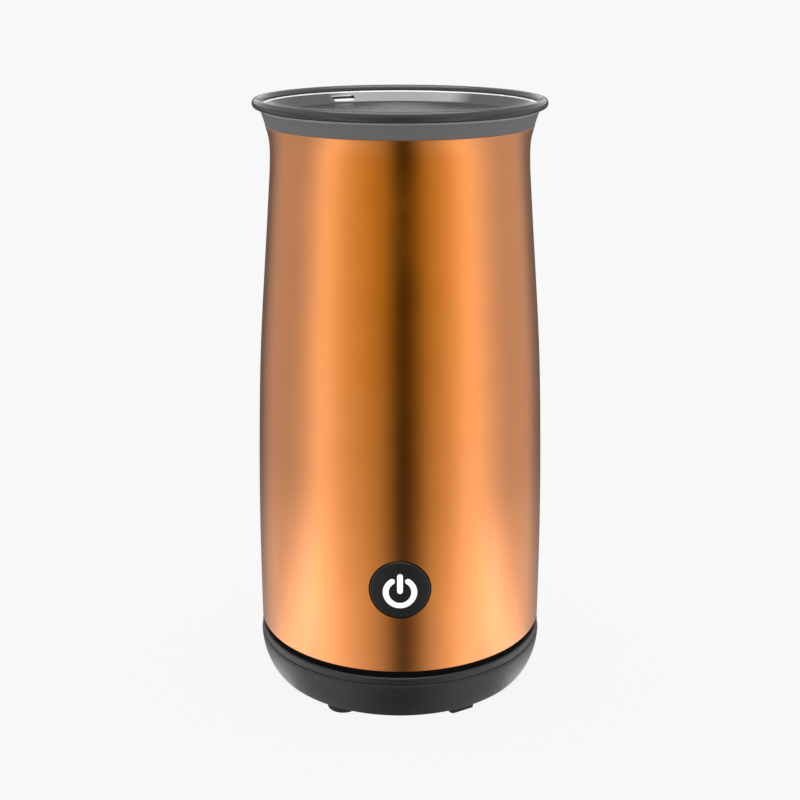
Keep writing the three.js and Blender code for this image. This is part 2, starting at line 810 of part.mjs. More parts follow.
// Guide that the button slides in, the spring behind the cap, and the switch on its own board.
function buttonSupport() {
  const flange = buttonRadius + 4;
  const chord = Math.sqrt((bodyRadius - sleeveWall) ** 2 - flange ** 2);
  const flangeFront = chord - 2 * clearance;
  const guideBack = bodyRadius - 15;
  const guide = revolve(
    [
      [buttonRadius + 0.45, guideBack],
      [buttonRadius + 2.2, guideBack],
      [buttonRadius + 2.2, flangeFront - 1.6],
      [flange, flangeFront - 1.6],
      [flange, flangeFront],
      [buttonRadius + 0.45, flangeFront],
    ],
    mediumSides,
  );
  const boardFront = guideBack - clearance;
  const board = block(28, 26, boardThickness, 0, 0, boardFront - boardThickness);
  const switchBase = boardFront + clearance / 3;
  const switchTop = plungerBack - buttonTravel - clearance / 2;
  const switchBody = block(6.2, 6.2, switchTop - 0.8 - switchBase, 0, 0, switchBase);
  const actuator = cylinder(1.7, switchBase, switchTop - switchBase, smallSides);
  const lamps = [-1, 1].map((side, i) =>
    piece(`indicator_lamp_${i + 1}`, block(2.4, 1.6, 1.2, side * 5.6, 0, switchBase), "lamp"),
  );
  const springBack = boardFront + clearance;
  const springFront = bodyRadius - buttonDepth - clearance;
  const turns = 4;
  const steps = turns * 8;
  const helix = Array.from({ length: steps + 1 }, (_, i) => {
    const a = (2 * Math.PI * i) / 8;
    const z = springBack + 0.5 + ((springFront - springBack - 1) * i) / steps;
    return new THREE.Vector3((buttonRadius - 1) * Math.cos(a), (buttonRadius - 1) * Math.sin(a), z);
  });
  const wire = new THREE.Shape().absarc(0, 0, 0.35, 0, 2 * Math.PI);
  const spring = new THREE.ExtrudeGeometry(wire, {
    steps,
    curveSegments: 2,
    extrudePath: new THREE.CatmullRomCurve3(helix),
  });
  return [
    piece("button_guide", guide, "blackPlastic"),
    piece("button_circuit_board", board, "circuitBoard"),
    piece("tact_switch", join(switchBody, actuator), "blackPlastic"),
    ...lamps,
    piece("button_spring", spring, "steel"),
  ];
}

// ---------------------------------------------------------------- whisk

function whisk() {
  const bottom = 1.2;
  const top = bottom + hubHeight;
  const middle = bottom + hubHeight / 2;
  const orbit = hubRadius + 1; // middle of the coil's ring
  const groove = arc(orbit, middle, coilRadius + wireRadius + clearance, 252, 108, 5);
  const hub = revolve(
    [
      [pinRadius + clearance, bottom],
      [hubRadius - 0.4, bottom],
      ...groove,
      [hubRadius - 0.4, top],
      [5, top],
      [3.6, top + 4],
      [0, top + 5],
      [0, pinHeight + clearance],
      [pinRadius + clearance, pinHeight + clearance],
    ],
    mediumSides,
  );
  const places = [0, 180].map((a) => polar(magnetOrbit, a));
  const pockets = places.map((at) =>
    cylinder(magnetRadius + clearance, bottom - 1, magnetHeight + 1 + clearance, smallSides, ...at),
  );
  const magnets = places.map((at, i) =>
    piece(`whisk_magnet_${i + 1}`, cylinder(magnetRadius, bottom, magnetHeight, smallSides, ...at), "magnet"),
  );
  // The frothing spring runs round the hub in a ring; its two ends stop just short of each other.
  const stepsPerTurn = 6;
  const steps = coilTurns * stepsPerTurn;
  const points = Array.from({ length: steps + 1 }, (_, i) => {
    const turn = (2 * Math.PI * i) / stepsPerTurn;
    const along = (((2 * Math.PI * i) / steps) * (coilTurns - 0.8)) / coilTurns;
    const r = orbit + coilRadius * Math.cos(turn);
    return new THREE.Vector3(r * Math.cos(along), r * Math.sin(along), coilRadius * Math.sin(turn));
  });
  const wire = new THREE.Shape().absarc(0, 0, wireRadius, 0, 2 * Math.PI);
  const extrudePath = new THREE.CatmullRomCurve3(points);
  const coil = new THREE.ExtrudeGeometry(wire, { steps, curveSegments: 2, extrudePath });
  coil.translate(0, 0, middle);
  const group = new THREE.Group();
  group.position.z = potFloor + clearance / 3;
  group.add(
    piece("whisk_hub", cut(hub, ...pockets), "blackPlastic"),
    piece("whisk_coil", coil, "steel"),
    ...magnets,
  );
  return group;
}

// ---------------------------------------------------------------- lid

// How far inwards the collar's seat runs between its top and its shelf, along the lid's slope.
function lidSeatRun() {
  return ((collarTop - collarShelf) * dishSlope) / dishDepth;
}

function lid() {
  const group = new THREE.Group();
  group.position.z = collarTop;
  const beadCentre = [collarRadius + lidOverhang - beadRadius, beadRise];
  const edge = [beadCentre[0] - rimLedge, beadRise - 0.35];
  const floor = [edge[0] - dishSlope, edge[1] - dishDepth];
  const shelf = collarShelf - collarTop;
  const under = shelf + clearance;
  const seatTop = [collarRadius - 0.7, 0];
  const lift = clearance * 1.4;
  const skirt = potBore - 1.2;
  const skirtBottom = under - plugDepth;
  const groove = skirtBottom + 2;
  const body = revolve([
    [0, floor[1]],
    floor,
    edge,
    ...arc(...beadCentre, beadRadius, 190, -90, 8),
    [seatTop[0], lift],
    [seatTop[0] - lidSeatRun() - lift * 0.4, under],
    [skirt, under],
    [skirt, groove + sealSection + 2 * clearance],
    [skirt - 1, groove + sealSection + 2 * clearance],
    [skirt - 1, groove],
    [skirt, groove],
    [skirt, skirtBottom],
    [skirt - 2.4, skirtBottom],
    [skirt - 2.4, under + 0.2],
    [0, under + 0.2],
  ]);
  const mid = (edge[0] + floor[0]) / 2;
  const [x, y] = polar(mid, ventAngle);
  const vent = new THREE.BoxGeometry(6, ventWidth, ventHeight)
    .rotateZ(degrees(ventAngle))
    .translate(x, y, (edge[1] + floor[1]) / 2 - 0.3);
  const seal = revolve([
    [skirt - 1 + clearance / 2, groove + clearance],
    [potBore - clearance - 0.3, groove + clearance],
    [potBore - clearance, groove + clearance + sealSection / 2],
    [potBore - clearance - 0.3, groove + clearance + sealSection],
    [skirt - 1 + clearance / 2, groove + clearance + sealSection],
  ]);
  group.add(piece("lid_dish", cut(body, vent), "smokedPlastic"), piece("lid_seal", seal, "silicone"));
  return group;
}

// ---------------------------------------------------------------- the whole object

function jug() {
  const group = new THREE.Group();
  group.position.z = jugZ;
  group.add(
    outerSleeve(),
    jugBaseRing(),
    jugBottomCover(),
    jugConnector(),
    ...jugContacts(),
    ...jugScrews(),
    collarRing(),
    innerPot(),
    ...potRings(),
    ...potNuts(),
    whiskPin(),
    innerChassis(),
    ...motor(),
    ...rotor(),
    heatingElement(),
    temperatureSensor(),
    thermalCutout(),
    ...mainBoard(),
    facingFront(...buttonPieces(), ...buttonSupport()),
    whisk(),
    lid(),
  );
  return group;
}

const frother = new THREE.Group();
frother.add(powerBase(), jug());

export default frother;
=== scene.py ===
import math

import bpy
import numpy as np
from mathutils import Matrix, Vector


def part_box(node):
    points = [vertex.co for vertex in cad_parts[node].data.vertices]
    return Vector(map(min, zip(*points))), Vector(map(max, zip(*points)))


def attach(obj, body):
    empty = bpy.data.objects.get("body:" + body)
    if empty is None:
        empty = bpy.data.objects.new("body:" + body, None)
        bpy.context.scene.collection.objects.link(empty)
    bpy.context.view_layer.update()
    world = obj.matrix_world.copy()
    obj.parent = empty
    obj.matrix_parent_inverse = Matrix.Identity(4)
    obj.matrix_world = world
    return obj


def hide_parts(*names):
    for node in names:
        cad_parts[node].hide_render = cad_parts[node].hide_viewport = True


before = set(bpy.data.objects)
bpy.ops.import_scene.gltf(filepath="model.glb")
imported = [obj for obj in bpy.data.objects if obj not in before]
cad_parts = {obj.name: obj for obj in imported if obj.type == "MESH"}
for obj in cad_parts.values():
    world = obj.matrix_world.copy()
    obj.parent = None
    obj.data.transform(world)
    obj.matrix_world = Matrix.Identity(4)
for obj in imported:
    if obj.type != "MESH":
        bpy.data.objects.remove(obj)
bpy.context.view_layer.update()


# ---------------------------------------------------------------- camera
# It stands in front of the push button and looks down a little, so that the lid's dish shows.
# Distances are metres from the middle of the feet.

camera_distance = 0.4613
camera_height = 0.2512
camera_tilt = 17.8  # degrees below level
view_width = 10 / 17  # width of the view over the distance to it

camera_data = bpy.data.cameras.new("front_camera")
camera_data.sensor_width = 36
camera_data.lens = 36 / view_width
camera = bpy.data.objects.new("front_camera", camera_data)
camera.location = (0, -camera_distance, camera_height)
camera.rotation_euler = (math.radians(90 - camera_tilt), 0, 0)
bpy.context.scene.collection.objects.link(camera)
bpy.context.scene.camera = camera
bpy.context.scene.view_settings.view_transform = "Standard"


# ---------------------------------------------------------------- floor and studio light
# A pale floor that runs out of sight, and light from a ring of tall soft panels round the object:
# bright ones to the left and right, a dark gap where the camera stands, and a softbox overhead.

def wire(tree, kind, links=None, **settings):
    """Adds a node. settings are its properties, and links give its sockets a value or an output."""
    node = tree.nodes.new(kind)
    for key, value in settings.items():
        setattr(node, key, value)
    for socket, value in (links or {}).items():
        if isinstance(value, bpy.types.NodeSocket):
            tree.links.new(value, node.inputs[socket])
        else:
            node.inputs[socket].default_value = value
    return node


def ramp(tree, factor, stops, blend="LINEAR"):
    """A colour ramp over factor. stops are (position, colour) pairs."""
    node = wire(tree, "ShaderNodeValToRGB", {"Fac": factor})
    node.color_ramp.interpolation = blend
    elements = node.color_ramp.elements
    while len(elements) > 1:
        elements.remove(elements[-1])
    elements[0].position, elements[0].color = stops[0][0], (*stops[0][1], 1)
    for position, colour in stops[1:]:
        elements.new(position).color = (*colour, 1)
    return node.outputs["Color"]


def greys(stops, whole=1):
    """Ramp stops from (position, brightness) pairs, with the positions divided by whole."""
    return [(position / whole, (v, v, v)) for position, v in stops]


def remap(tree, value, start, end, low=0.0, high=1.0, **settings):
    """Carries value from the span start..end to low..high, and holds it past both ends."""
    node = wire(tree, "ShaderNodeMapRange", {"Value": value, "From Min": start, "From Max": end,
                                             "To Min": low, "To Max": high}, **settings)
    return node.outputs[0]


def maths(tree, operation, *values):
    """Does one sum on plain numbers, which are values or nodes' outputs."""
    return wire(tree, "ShaderNodeMath", dict(enumerate(values)), operation=operation).outputs[0]


def times(tree, first, second):
    """Multiplies a colour or a vector by another one or by a number, part by part."""
    return wire(tree, "ShaderNodeVectorMath", {0: first, 1: second}, operation="MULTIPLY").outputs[0]


# Brightness of the panels by the angle round from the camera, in degrees, minus to the left.
panels = [
    (-180, 0.12), (-150, 0.15), (-135, 0.38), (-122, 0.52), (-104, 0.50), (-90, 0.53), (-78, 0.76),
    (-68, 1.08), (-58, 1.05), (-49, 0.84), (-40, 0.70), (-31, 0.62), (-22, 0.51), (-14, 0.40),
    (-7, 0.20), (-1, 0.03), (5, 0.02), (9, 0.07), (15, 0.21), (24, 0.48), (35, 0.64), (44, 0.82),
    (54, 1.10), (64, 1.08), (74, 0.86), (84, 0.66), (96, 0.54), (110, 0.57), (125, 0.54),
    (140, 0.26), (155, 0.15), (180, 0.12),
]
world = bpy.data.worlds.new("studio")
world.use_nodes = True
bpy.context.scene.world = world
sky = world.node_tree
background = (0.947, 0.947, 0.947)
toward = wire(sky, "ShaderNodeSeparateXYZ",
              {"Vector": sky.nodes.new("ShaderNodeTexCoord").outputs["Generated"]})
to_front = maths(sky, "MULTIPLY", toward.outputs["Y"], -1.0)
round_angle = maths(sky, "ARCTAN2", toward.outputs["X"], to_front)
turn = remap(sky, round_angle, -math.pi, math.pi)
ring_light = ramp(sky, turn, greys([(degrees + 180, v) for degrees, v in panels], 360))
# The panels stand on the floor, so little comes from steeply below.
low_light = times(sky, ring_light, remap(sky, toward.outputs["Z"], -0.95, -0.6, 0.35, 1.0))
# Brightness above the panels, by the height of the direction: level at 0, straight up at 1.
backdrop = [(0.1, 1.0), (0.3, 1.0), (0.42, 0.55), (0.6, 0.5), (0.8, 0.7)]
softbox = [(0.76, 0.0), (0.80, 0.5), (0.86, 2.9), (0.93, 3.6)]
back_light = ramp(sky, toward.outputs["Z"], greys(backdrop))
top_light = ramp(sky, toward.outputs["Z"], greys(softbox))
# The studio behind the camera is dimmer than the backdrop, and the softbox ends over the object.
rearward = remap(sky, toward.outputs["Y"], -0.6, 0.2, 0.6, 1.0)
forward = remap(sky, toward.outputs["Y"], 0.22, 0.36, 1.0, 0.0)
high_light = wire(sky, "ShaderNodeVectorMath", {0: times(sky, back_light, rearward),
                                                1: times(sky, top_light, forward)}, operation="ADD")
lift = remap(sky, toward.outputs["Z"], 0.05, 0.12)
light = wire(sky, "ShaderNodeMix", {0: lift, 6: low_light, 7: high_light.outputs[0]}, data_type="RGBA")
seen = wire(sky, "ShaderNodeLightPath").outputs["Is Camera Ray"]
shown = wire(sky, "ShaderNodeMix", {0: seen, 6: light.outputs[2], 7: (*background, 1)},
             data_type="RGBA")
sky.links.new(shown.outputs[2], sky.nodes["Background"].inputs["Color"])


def disc(name, radius, height, sides=96):
    """A flat round sheet: points at radius times (cos, sin) of the angle round."""
    a = np.linspace(0, 2 * np.pi, sides, endpoint=False)
    points = np.column_stack([radius * np.cos(a), radius * np.sin(a), np.full(sides, height)])
    mesh = bpy.data.meshes.new(name)
    mesh.from_pydata(points.tolist(), [], [list(range(sides))])
    made = bpy.data.objects.new(name, mesh)
    bpy.context.scene.collection.objects.link(made)
    return made


def bare_paint(sheet, name):
    """Gives a stage sheet a new material with no nodes in it, and returns the material's node tree."""
    paint = bpy.data.materials.new(name)
    paint.use_nodes = True
    paint.node_tree.nodes.clear()
    sheet.data.materials.append(paint)
    return paint.node_tree


floor = disc("floor", 30, 0)
tree = bare_paint(floor, "pale_floor")
lit = wire(tree, "ShaderNodeEmission", {"Color": (0.911, 0.911, 0.911, 1)})
matte = wire(tree, "ShaderNodeBsdfDiffuse", {"Color": (0.02, 0.02, 0.02, 1)})
both = wire(tree, "ShaderNodeAddShader", {0: lit.outputs[0], 1: matte.outputs[0]})
wire(tree, "ShaderNodeOutputMaterial", {"Surface": both.outputs[0]})
floor.visible_diffuse = False
floor.visible_glossy = False
floor.visible_transmission = False

# The bright patch of floor round the object, which only shows as a reflection on the sleeve and bowl.
patch = disc("floor_patch", 0.45, 0.0005)
tree = bare_paint(patch, "floor_patch")
place = wire(tree, "ShaderNodeTexCoord").outputs["Object"]
away = wire(tree, "ShaderNodeVectorMath", {0: place}, operation="LENGTH")
distance = away.outputs["Value"]
near = remap(tree, distance, 0.09, 0.31, 1.0, 0.0, interpolation_type="SMOOTHSTEP")
split = wire(tree, "ShaderNodeSeparateXYZ", {"Vector": place})
ahead = maths(tree, "MULTIPLY", split.outputs["Y"], -1.0)
aside = maths(tree, "ABSOLUTE", split.outputs["X"])
from_front = remap(tree, maths(tree, "ARCTAN2", aside, ahead), 0.0, math.pi)
# Brightness of the patch by the angle from the front, in degrees.
patch_stops = [(0, 0.04), (12, 0.06), (25, 0.14), (46, 0.22), (54, 0.38), (61, 0.80), (72, 0.88),
               (82, 0.62), (95, 0.29), (140, 0.12)]
strength = ramp(tree, from_front, greys(patch_stops, 180))
# It is brightest right under the bowl's edge.
close = remap(tree, distance, 0.054, 0.066, 1.7, 1.0)
bright = maths(tree, "MULTIPLY", maths(tree, "MULTIPLY", near, close), strength)
shine = wire(tree, "ShaderNodeEmission", {"Strength": bright})
clear = wire(tree, "ShaderNodeBsdfTransparent")
sum_up = wire(tree, "ShaderNodeAddShader", {0: shine.outputs[0], 1: clear.outputs[0]})
wire(tree, "ShaderNodeOutputMaterial", {"Surface": sum_up.outputs[0]})
patch.visible_camera = False
patch.visible_diffuse = False
patch.visible_transmission = False
patch.visible_shadow = False


# ---------------------------------------------------------------- bowl of the power base
# A satin black moulding that the jug stands on. Its side is a soft curve down to a flat underside,
# with three recessed screws. The tray drops into its rim.

def box_mm(node):
    """Lowest and highest corner of a CAD node, in millimetres."""
    low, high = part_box(node)
    return 1000 * np.array(low), 1000 * np.array(high)


def spot_of(node):
    """Where the middle of a CAD node stands, seen from above, in millimetres."""
    low, high = box_mm(node)
    return (low + high)[:2] / 2


def rounded(corners, steps=6):
    """A closed outline of (radius, height) corners, each with an optional third number, the radius of
    the arc that rounds it. The arc runs between the points where a circle of that radius touches the
    two sides, and a point close to each of its ends keeps the flat sides flat."""
    hold = 0.15  # how far that point is from the arc's end, at most
    c = np.array([p[:2] for p in corners], float)
    fillet = np.array([p[2] if len(p) > 2 else 0.0 for p in corners], float)
    u, v = np.roll(c, 1, 0) - c, np.roll(c, -1, 0) - c
    lu, lv = np.linalg.norm(u, axis=1), np.linalg.norm(v, axis=1)
    u, v = u / lu[:, None], v / lv[:, None]
    half = 0.5 * np.arccos(np.clip((u * v).sum(1), -0.999999, 0.999999))
    reach = np.minimum(fillet / np.tan(half), 0.49 * np.minimum(lu, lv))
    middle = u + v
    middle /= np.maximum(np.linalg.norm(middle, axis=1), 1e-9)[:, None]
    centre = c + middle * (reach / np.cos(half))[:, None]
    start, end = c + u * reach[:, None], c + v * reach[:, None]
    a0 = np.arctan2(*(start - centre).T[::-1])
    a1 = np.arctan2(*(end - centre).T[::-1])
    sweep = (a1 - a0 + np.pi) % (2 * np.pi) - np.pi
    t = np.linspace(0, 1, steps + 1)
    angle = a0[:, None] + sweep[:, None] * t
    radius = (reach * np.tan(half))[:, None, None]
    arc = centre[:, None] + radius * np.stack([np.cos(angle), np.sin(angle)], 2)
    hold_u = np.minimum(hold, 0.2 * (lu - reach))[:, None]
    hold_v = np.minimum(hold, 0.2 * (lv - reach))[:, None]
    rows = np.concatenate([(start + u * hold_u)[:, None], arc, (end + v * hold_v)[:, None]], 1)
    rows = np.where((fillet > 0)[:, None, None], rows, c[:, None])
    points = rows.reshape(-1, 2)
    return points[np.linalg.norm(points - np.roll(points, 1, 0), axis=1) > 1e-5]


def turned(outline, sides=160, centre=(0, 0)):
    """A closed outline of (radius, height) points carried round an upright axis at centre. Returns
    (vertices, faces). A point on the axis becomes one vertex, with triangles round it."""
    p = np.array(outline, float)
    q = np.roll(p, -1, 0)
    if (p[:, 0] * q[:, 1] - q[:, 0] * p[:, 1]).sum() < 0:
        p = p[::-1]
    n = len(p)
    a = np.linspace(0, 2 * np.pi, sides, endpoint=False)[:, None]
    x, y = centre[0] + p[:, 0] * np.cos(a), centre[1] + p[:, 0] * np.sin(a)
    grid = np.stack([x, y, np.broadcast_to(p[:, 1], x.shape)], 2).reshape(-1, 3)
    i, j = np.meshgrid(np.arange(sides), np.arange(n), indexing="ij")
    axis = p[:, 0] < 1e-6
    number = np.where(axis[j], j, i * n + j)
    here, there = number, np.roll(number, -1, 0)
    here_up, there_up = np.roll(here, -1, 1), np.roll(there, -1, 1)
    next_axis = np.roll(axis, -1)
    whole = (~axis & ~next_axis)[j]
    quads = np.stack([here, there, there_up, here_up], 2)[whole]
    low = np.stack([here, there_up, here_up], 2)[(axis & ~next_axis)[j]]
    high = np.stack([here, there, there_up], 2)[(~axis & next_axis)[j]]
    return used_only(grid, quads.tolist() + low.tolist() + high.tolist())


def rod(radius, low, high, sides=48, centre=(0, 0)):
    """A plain upright round rod, closed at both ends."""
    return turned([(0, low), (radius, low), (radius, high), (0, high)], sides, centre)


def used_only(grid, faces):
    """Drops the vertices that no face uses."""
    used, flat_index = np.unique(np.concatenate([np.ravel(f) for f in faces]), return_inverse=True)
    counts = np.cumsum([0] + [len(f) for f in faces])
    parts = np.split(flat_index, counts[1:-1])
    return grid[used], [part.tolist() for part in parts]


def stacked(grid, ends=True):
    """A shape from a grid of rings, (rings, points round, 3): a four-sided face between each pair of
    neighbouring points on a ring and on the next one, and one face over each end ring."""
    rings, around = grid.shape[:2]
    k, m = np.meshgrid(np.arange(rings - 1), np.arange(around), indexing="ij")
    here, there = k * around + m, k * around + (m + 1) % around
    faces = np.stack([here, there, there + around, here + around], 2).reshape(-1, 4).tolist()
    if ends:
        last = (rings - 1) * around
        faces += [list(range(around - 1, -1, -1)), list(range(last, last + around))]
    return grid.reshape(-1, 3), faces


def outward(shape):
    """Turns the faces over if the space that they enclose comes out negative. It is the sum, over each
    face's triangles, of the pyramids from the origin: a sixth of first . (second x third corner)."""
    vertices, faces = shape
    fans = np.array([(f[0], f[k], f[k + 1]) for f in faces for k in range(1, len(f) - 1)])
    first, second, third = vertices[fans[:, 0]], vertices[fans[:, 1]], vertices[fans[:, 2]]
    if (first * np.cross(second, third)).sum() < 0:
        faces = [face[::-1] for face in faces]
    return vertices, faces


def make(name, shapes, finish, body, nodes=(), sharp=40):
    """One object from (vertices, faces) shapes in millimetres, smooth except across sharp edges.
    It rides on a body and stands for the CAD nodes named."""
    points, faces, count = [], [], 0
    for vertices, shape_faces in map(outward, shapes):
        points.append(vertices)
        faces += [[k + count for k in face] for face in shape_faces]
        count += len(vertices)
    mesh = bpy.data.meshes.new(name)
    mesh.from_pydata((np.concatenate(points) / 1000).tolist(), [], faces)
    mesh.shade_smooth()
    mesh.set_sharp_from_angle(angle=math.radians(sharp))
    made = bpy.data.objects.new(name, mesh)
    bpy.context.scene.collection.objects.link(made)
    mesh.materials.append(finish)
    if body:
        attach(made, body)
    if nodes:
        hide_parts(*nodes)
    return made


def carve(piece, shapes, sharp=40, cut_finish=None):
    """Cuts closed (vertices, faces) shapes out of a piece, with a boolean that is applied at once.
    The cut's own faces can take the piece's second material."""
    tool = make("carving_tool", shapes, piece.data.materials[0], None)
    if cut_finish:
        tool.data.materials.append(cut_finish)
        tool.data.polygons.foreach_set("material_index", [1] * len(tool.data.polygons))
    change = piece.modifiers.new("carve", "BOOLEAN")
    change.object, change.operation, change.solver = tool, "DIFFERENCE", "EXACT"
    bpy.context.view_layer.update()
    result = bpy.data.meshes.new_from_object(piece.evaluated_get(bpy.context.evaluated_depsgraph_get()))
    piece.modifiers.clear()
    old, piece.data = piece.data, result
    result.shade_smooth()
    result.set_sharp_from_angle(angle=math.radians(sharp))
    bpy.data.objects.remove(tool)
    bpy.data.meshes.remove(old)
    return piece


def finish(name, dark, light, rough, grain, bump=0.1, stretch=(1, 1, 1), **plain):
    """A material whose colour wanders from dark to light and whose roughness wanders between the two
    values of rough, by noise with grains of that size in millimetres, stretched along each axis, with
    a much finer noise as its bump. plain values go on the shader's own sockets."""
    made = bpy.data.materials.new(name)
    made.use_nodes = True
    tree = made.node_tree
    shader = tree.nodes["Principled BSDF"]
    place = wire(tree, "ShaderNodeTexCoord").outputs["Object"]
    at = wire(tree, "ShaderNodeMapping", {"Vector": place, "Scale": tuple(1000 / s for s in stretch)})
    cloud = wire(tree, "ShaderNodeTexNoise", {"Vector": at.outputs[0], "Scale": 1 / grain,
                                              "Detail": 4.0})
    colour = ramp(tree, cloud.outputs["Fac"], [(0.3, dark), (0.7, light)])
    tree.links.new(colour, shader.inputs["Base Color"])
    gloss = remap(tree, cloud.outputs["Fac"], 0.3, 0.7, *rough)
    tree.links.new(gloss, shader.inputs["Roughness"])
    pits = wire(tree, "ShaderNodeTexNoise", {"Vector": at.outputs[0], "Scale": 6 / grain,
                                             "Detail": 3.0})
    relief = wire(tree, "ShaderNodeBump", {"Height": pits.outputs["Fac"], "Strength": bump,
                                           "Distance": 0.00005})
    tree.links.new(relief.outputs[0], shader.inputs["Normal"])
    for socket, value in plain.items():
        shader.inputs[socket.replace("_", " ")].default_value = value
    return made


black_plastic = finish("satin_black_plastic", (0.015, 0.015, 0.016), (0.019, 0.019, 0.020),
                       (0.36, 0.44), 1.2, 0.25)

bowl_low, bowl_high = box_mm("base_bowl")
under, rim = bowl_low[2], bowl_high[2]
bowl_radius = bowl_high[0]
wall = 2.2
shoulder = rim - 0.85  # the widest line
ledge = rim - 2.6  # where the tray sits
chine = under + 0.8  # where the side's curve starts, above the flat underside
tucked_in = 4.4  # how much narrower the side is there than at the shoulder
# The side is a flattened oval: share ** 1.28 + depth ** 1.76 = 1, with depth from the shoulder down.
depth = np.cos(np.linspace(0, np.pi / 2, 33))
share = (1 - depth ** 1.76) ** (1 / 1.28)
side = np.column_stack([bowl_radius - tucked_in * (1 - share),
                        chine + (shoulder - chine) * (1 - depth)])
bowl_outline = [(0, under), (side[0, 0] - 1.6, under, 1.2), *side.tolist(),
                (bowl_radius - 0.30, rim + 0.12, 0.25), (bowl_radius - wall, rim + 0.12, 0.3),
                (bowl_radius - wall, ledge),
                (bowl_radius - wall - 0.6, under + 8), (bowl_radius - wall - 5.5, under + wall, 2),
                (0, under + wall)]
bowl = make("power_base_bowl", [turned(rounded(bowl_outline))], black_plastic, "power_base",
            ["base_bowl"])

screw_orbit = 29
screw_spots = [screw_orbit * np.array([math.cos(math.radians(a)), math.sin(math.radians(a))])
               for a in (30, 150, 270)]
recess_radius = 3.4  # round a screw's head
recesses = [rod(recess_radius, under - 2, under + 2, centre=spot) for spot in screw_spots]
gland_low, gland_high = box_mm("cord_gland")
gland_z = (gland_low[2] + gland_high[2]) / 2


def along_y(shape, height):
    """Lays a shape that stands on its end along +Y, with its axis at that height."""
    vertices, faces = shape
    return np.column_stack([vertices[:, 0], vertices[:, 2], height - vertices[:, 1]]), faces


gland_hole = along_y(rod(4.2, 40, 56, 64), gland_z)
carve(bowl, recesses + [gland_hole])


# ---------------------------------------------------------------- screws
# Pan-head steel screws with a hexagonal socket: three hold the tray in the bowl from below, and
# three hold the jug's bottom cover.

screw_steel = finish("screw_steel", (0.50, 0.51, 0.52), (0.62, 0.63, 0.64), (0.28, 0.42), 0.6, 0.2,
                     Metallic=1.0)


def screw(spot, foot, length):
    """Rings of points carried up the screw. A ring's radius is that of a circle, except down the
    socket, where it is the distance to the side of a hexagon at that angle."""
    a = np.linspace(0, 2 * np.pi, 48, endpoint=False)
    socket = 1.25  # half the width across the hexagon's flats
    hexagon = socket / np.cos((a % (np.pi / 3)) - np.pi / 6)
    rings = [(0, 0.7), (hexagon, 0.7), (hexagon, 0.06), (hexagon + 0.08, 0), (2.4, 0), (2.7, 0.1),
             (2.85, 0.35), (2.85, 1.3), (2.75, 1.4), (1.5, 1.4), (1.5, length - 0.6), (1.0, length),
             (0, length)]
    radius = np.array([np.broadcast_to(r, a.shape) for r, _ in rings])
    height = np.array([z for _, z in rings])[:, None] + 0 * a
    return stacked(np.stack([spot[0] + radius * np.cos(a), spot[1] + radius * np.sin(a),
                             foot + height], 2), ends=False)


def screws(body, label, spots):
    """One screw object for each CAD screw, with its doubled points at the ends merged."""
    for number, spot in enumerate(spots, 1):
        node = f"{label}_{number}"
        low, high = box_mm(node)
        made = make("screw_" + node, [screw(spot, low[2], high[2] - low[2])], screw_steel, body, [node],
                    30)
        weld = made.modifiers.new("weld", "WELD")
        weld.merge_threshold = 1e-6


screws("power_base", "base_screw", screw_spots)


# ---------------------------------------------------------------- tray and plug of the power base
# The tray is a black disc with a raised lip, screwed to the bowl. The round plug of the cordless
# connector stands in its middle, with a brass ring contact and a brass sleeve contact.

tray_low, tray_high = box_mm("base_tray")
tray_rim, tray_top = tray_high[0], tray_high[2] - 0.4
tray_hole, tray_under = 14.3, tray_top - 1.8
tray_plate = rounded([(tray_hole, tray_under), (tray_rim, tray_under), (tray_rim, tray_high[2], 0.3),
                      (tray_rim - 1.6, tray_high[2], 0.3), (tray_rim - 2.2, tray_top, 0.4),
                      (tray_hole, tray_top)])
tray_bosses = [turned(rounded([(1.6, tray_low[2]), (3.4, tray_low[2], 0.3), (3.4, tray_top - 1.5),
                               (1.6, tray_top - 1.5)], 3), 40, spot) for spot in screw_spots]
make("power_base_tray", [turned(tray_plate), *tray_bosses], black_plastic, "power_base", ["base_tray"])

plug_low, plug_high = box_mm("base_connector")
plug_top = plug_high[2]
plug_outline = rounded([(0, plug_low[2]), (16.5, plug_low[2], 0.4), (16.5, tray_top - 2.1, 0.3),
                        (14, tray_top - 2.1), (14, tray_top + 0.6, 0.4), (9.4, tray_top + 0.6, 0.5),
                        (9.4, plug_top, 0.8), (6.4, plug_top, 0.3), (6.4, plug_top - 6),
                        (4.6, plug_top - 6), (4.6, plug_top, 0.3), (2.2, plug_top, 0.3),
                        (2.2, plug_top - 7), (0, plug_top - 7)])
make("power_base_plug", [turned(plug_outline, 96)], black_plastic, "power_base", ["base_connector"])

contact_brass = finish("contact_brass", (0.55, 0.36, 0.12), (0.68, 0.46, 0.17), (0.22, 0.36), 0.8, 0.15,
                       Metallic=1.0)


def contact(name, node, inner, outer, body):
    """A thin brass tube with softened ends, as tall as its CAD node."""
    low, high = box_mm(node)
    outline = rounded([(inner, low[2], 0.08), (outer, low[2], 0.08), (outer, high[2], 0.08),
                       (inner, high[2], 0.08)], 3)
    make(name, [turned(outline, 64)], contact_brass, body, [node])


contact("plug_ring_contact", "base_ring_contact", 4.9, 5.3, "power_base")
contact("plug_centre_contact", "base_centre_contact", 1.75, 1.95, "power_base")


# ---------------------------------------------------------------- cord gland
# A black rubber grommet snapped into the back of the bowl, where the supply cord goes in.

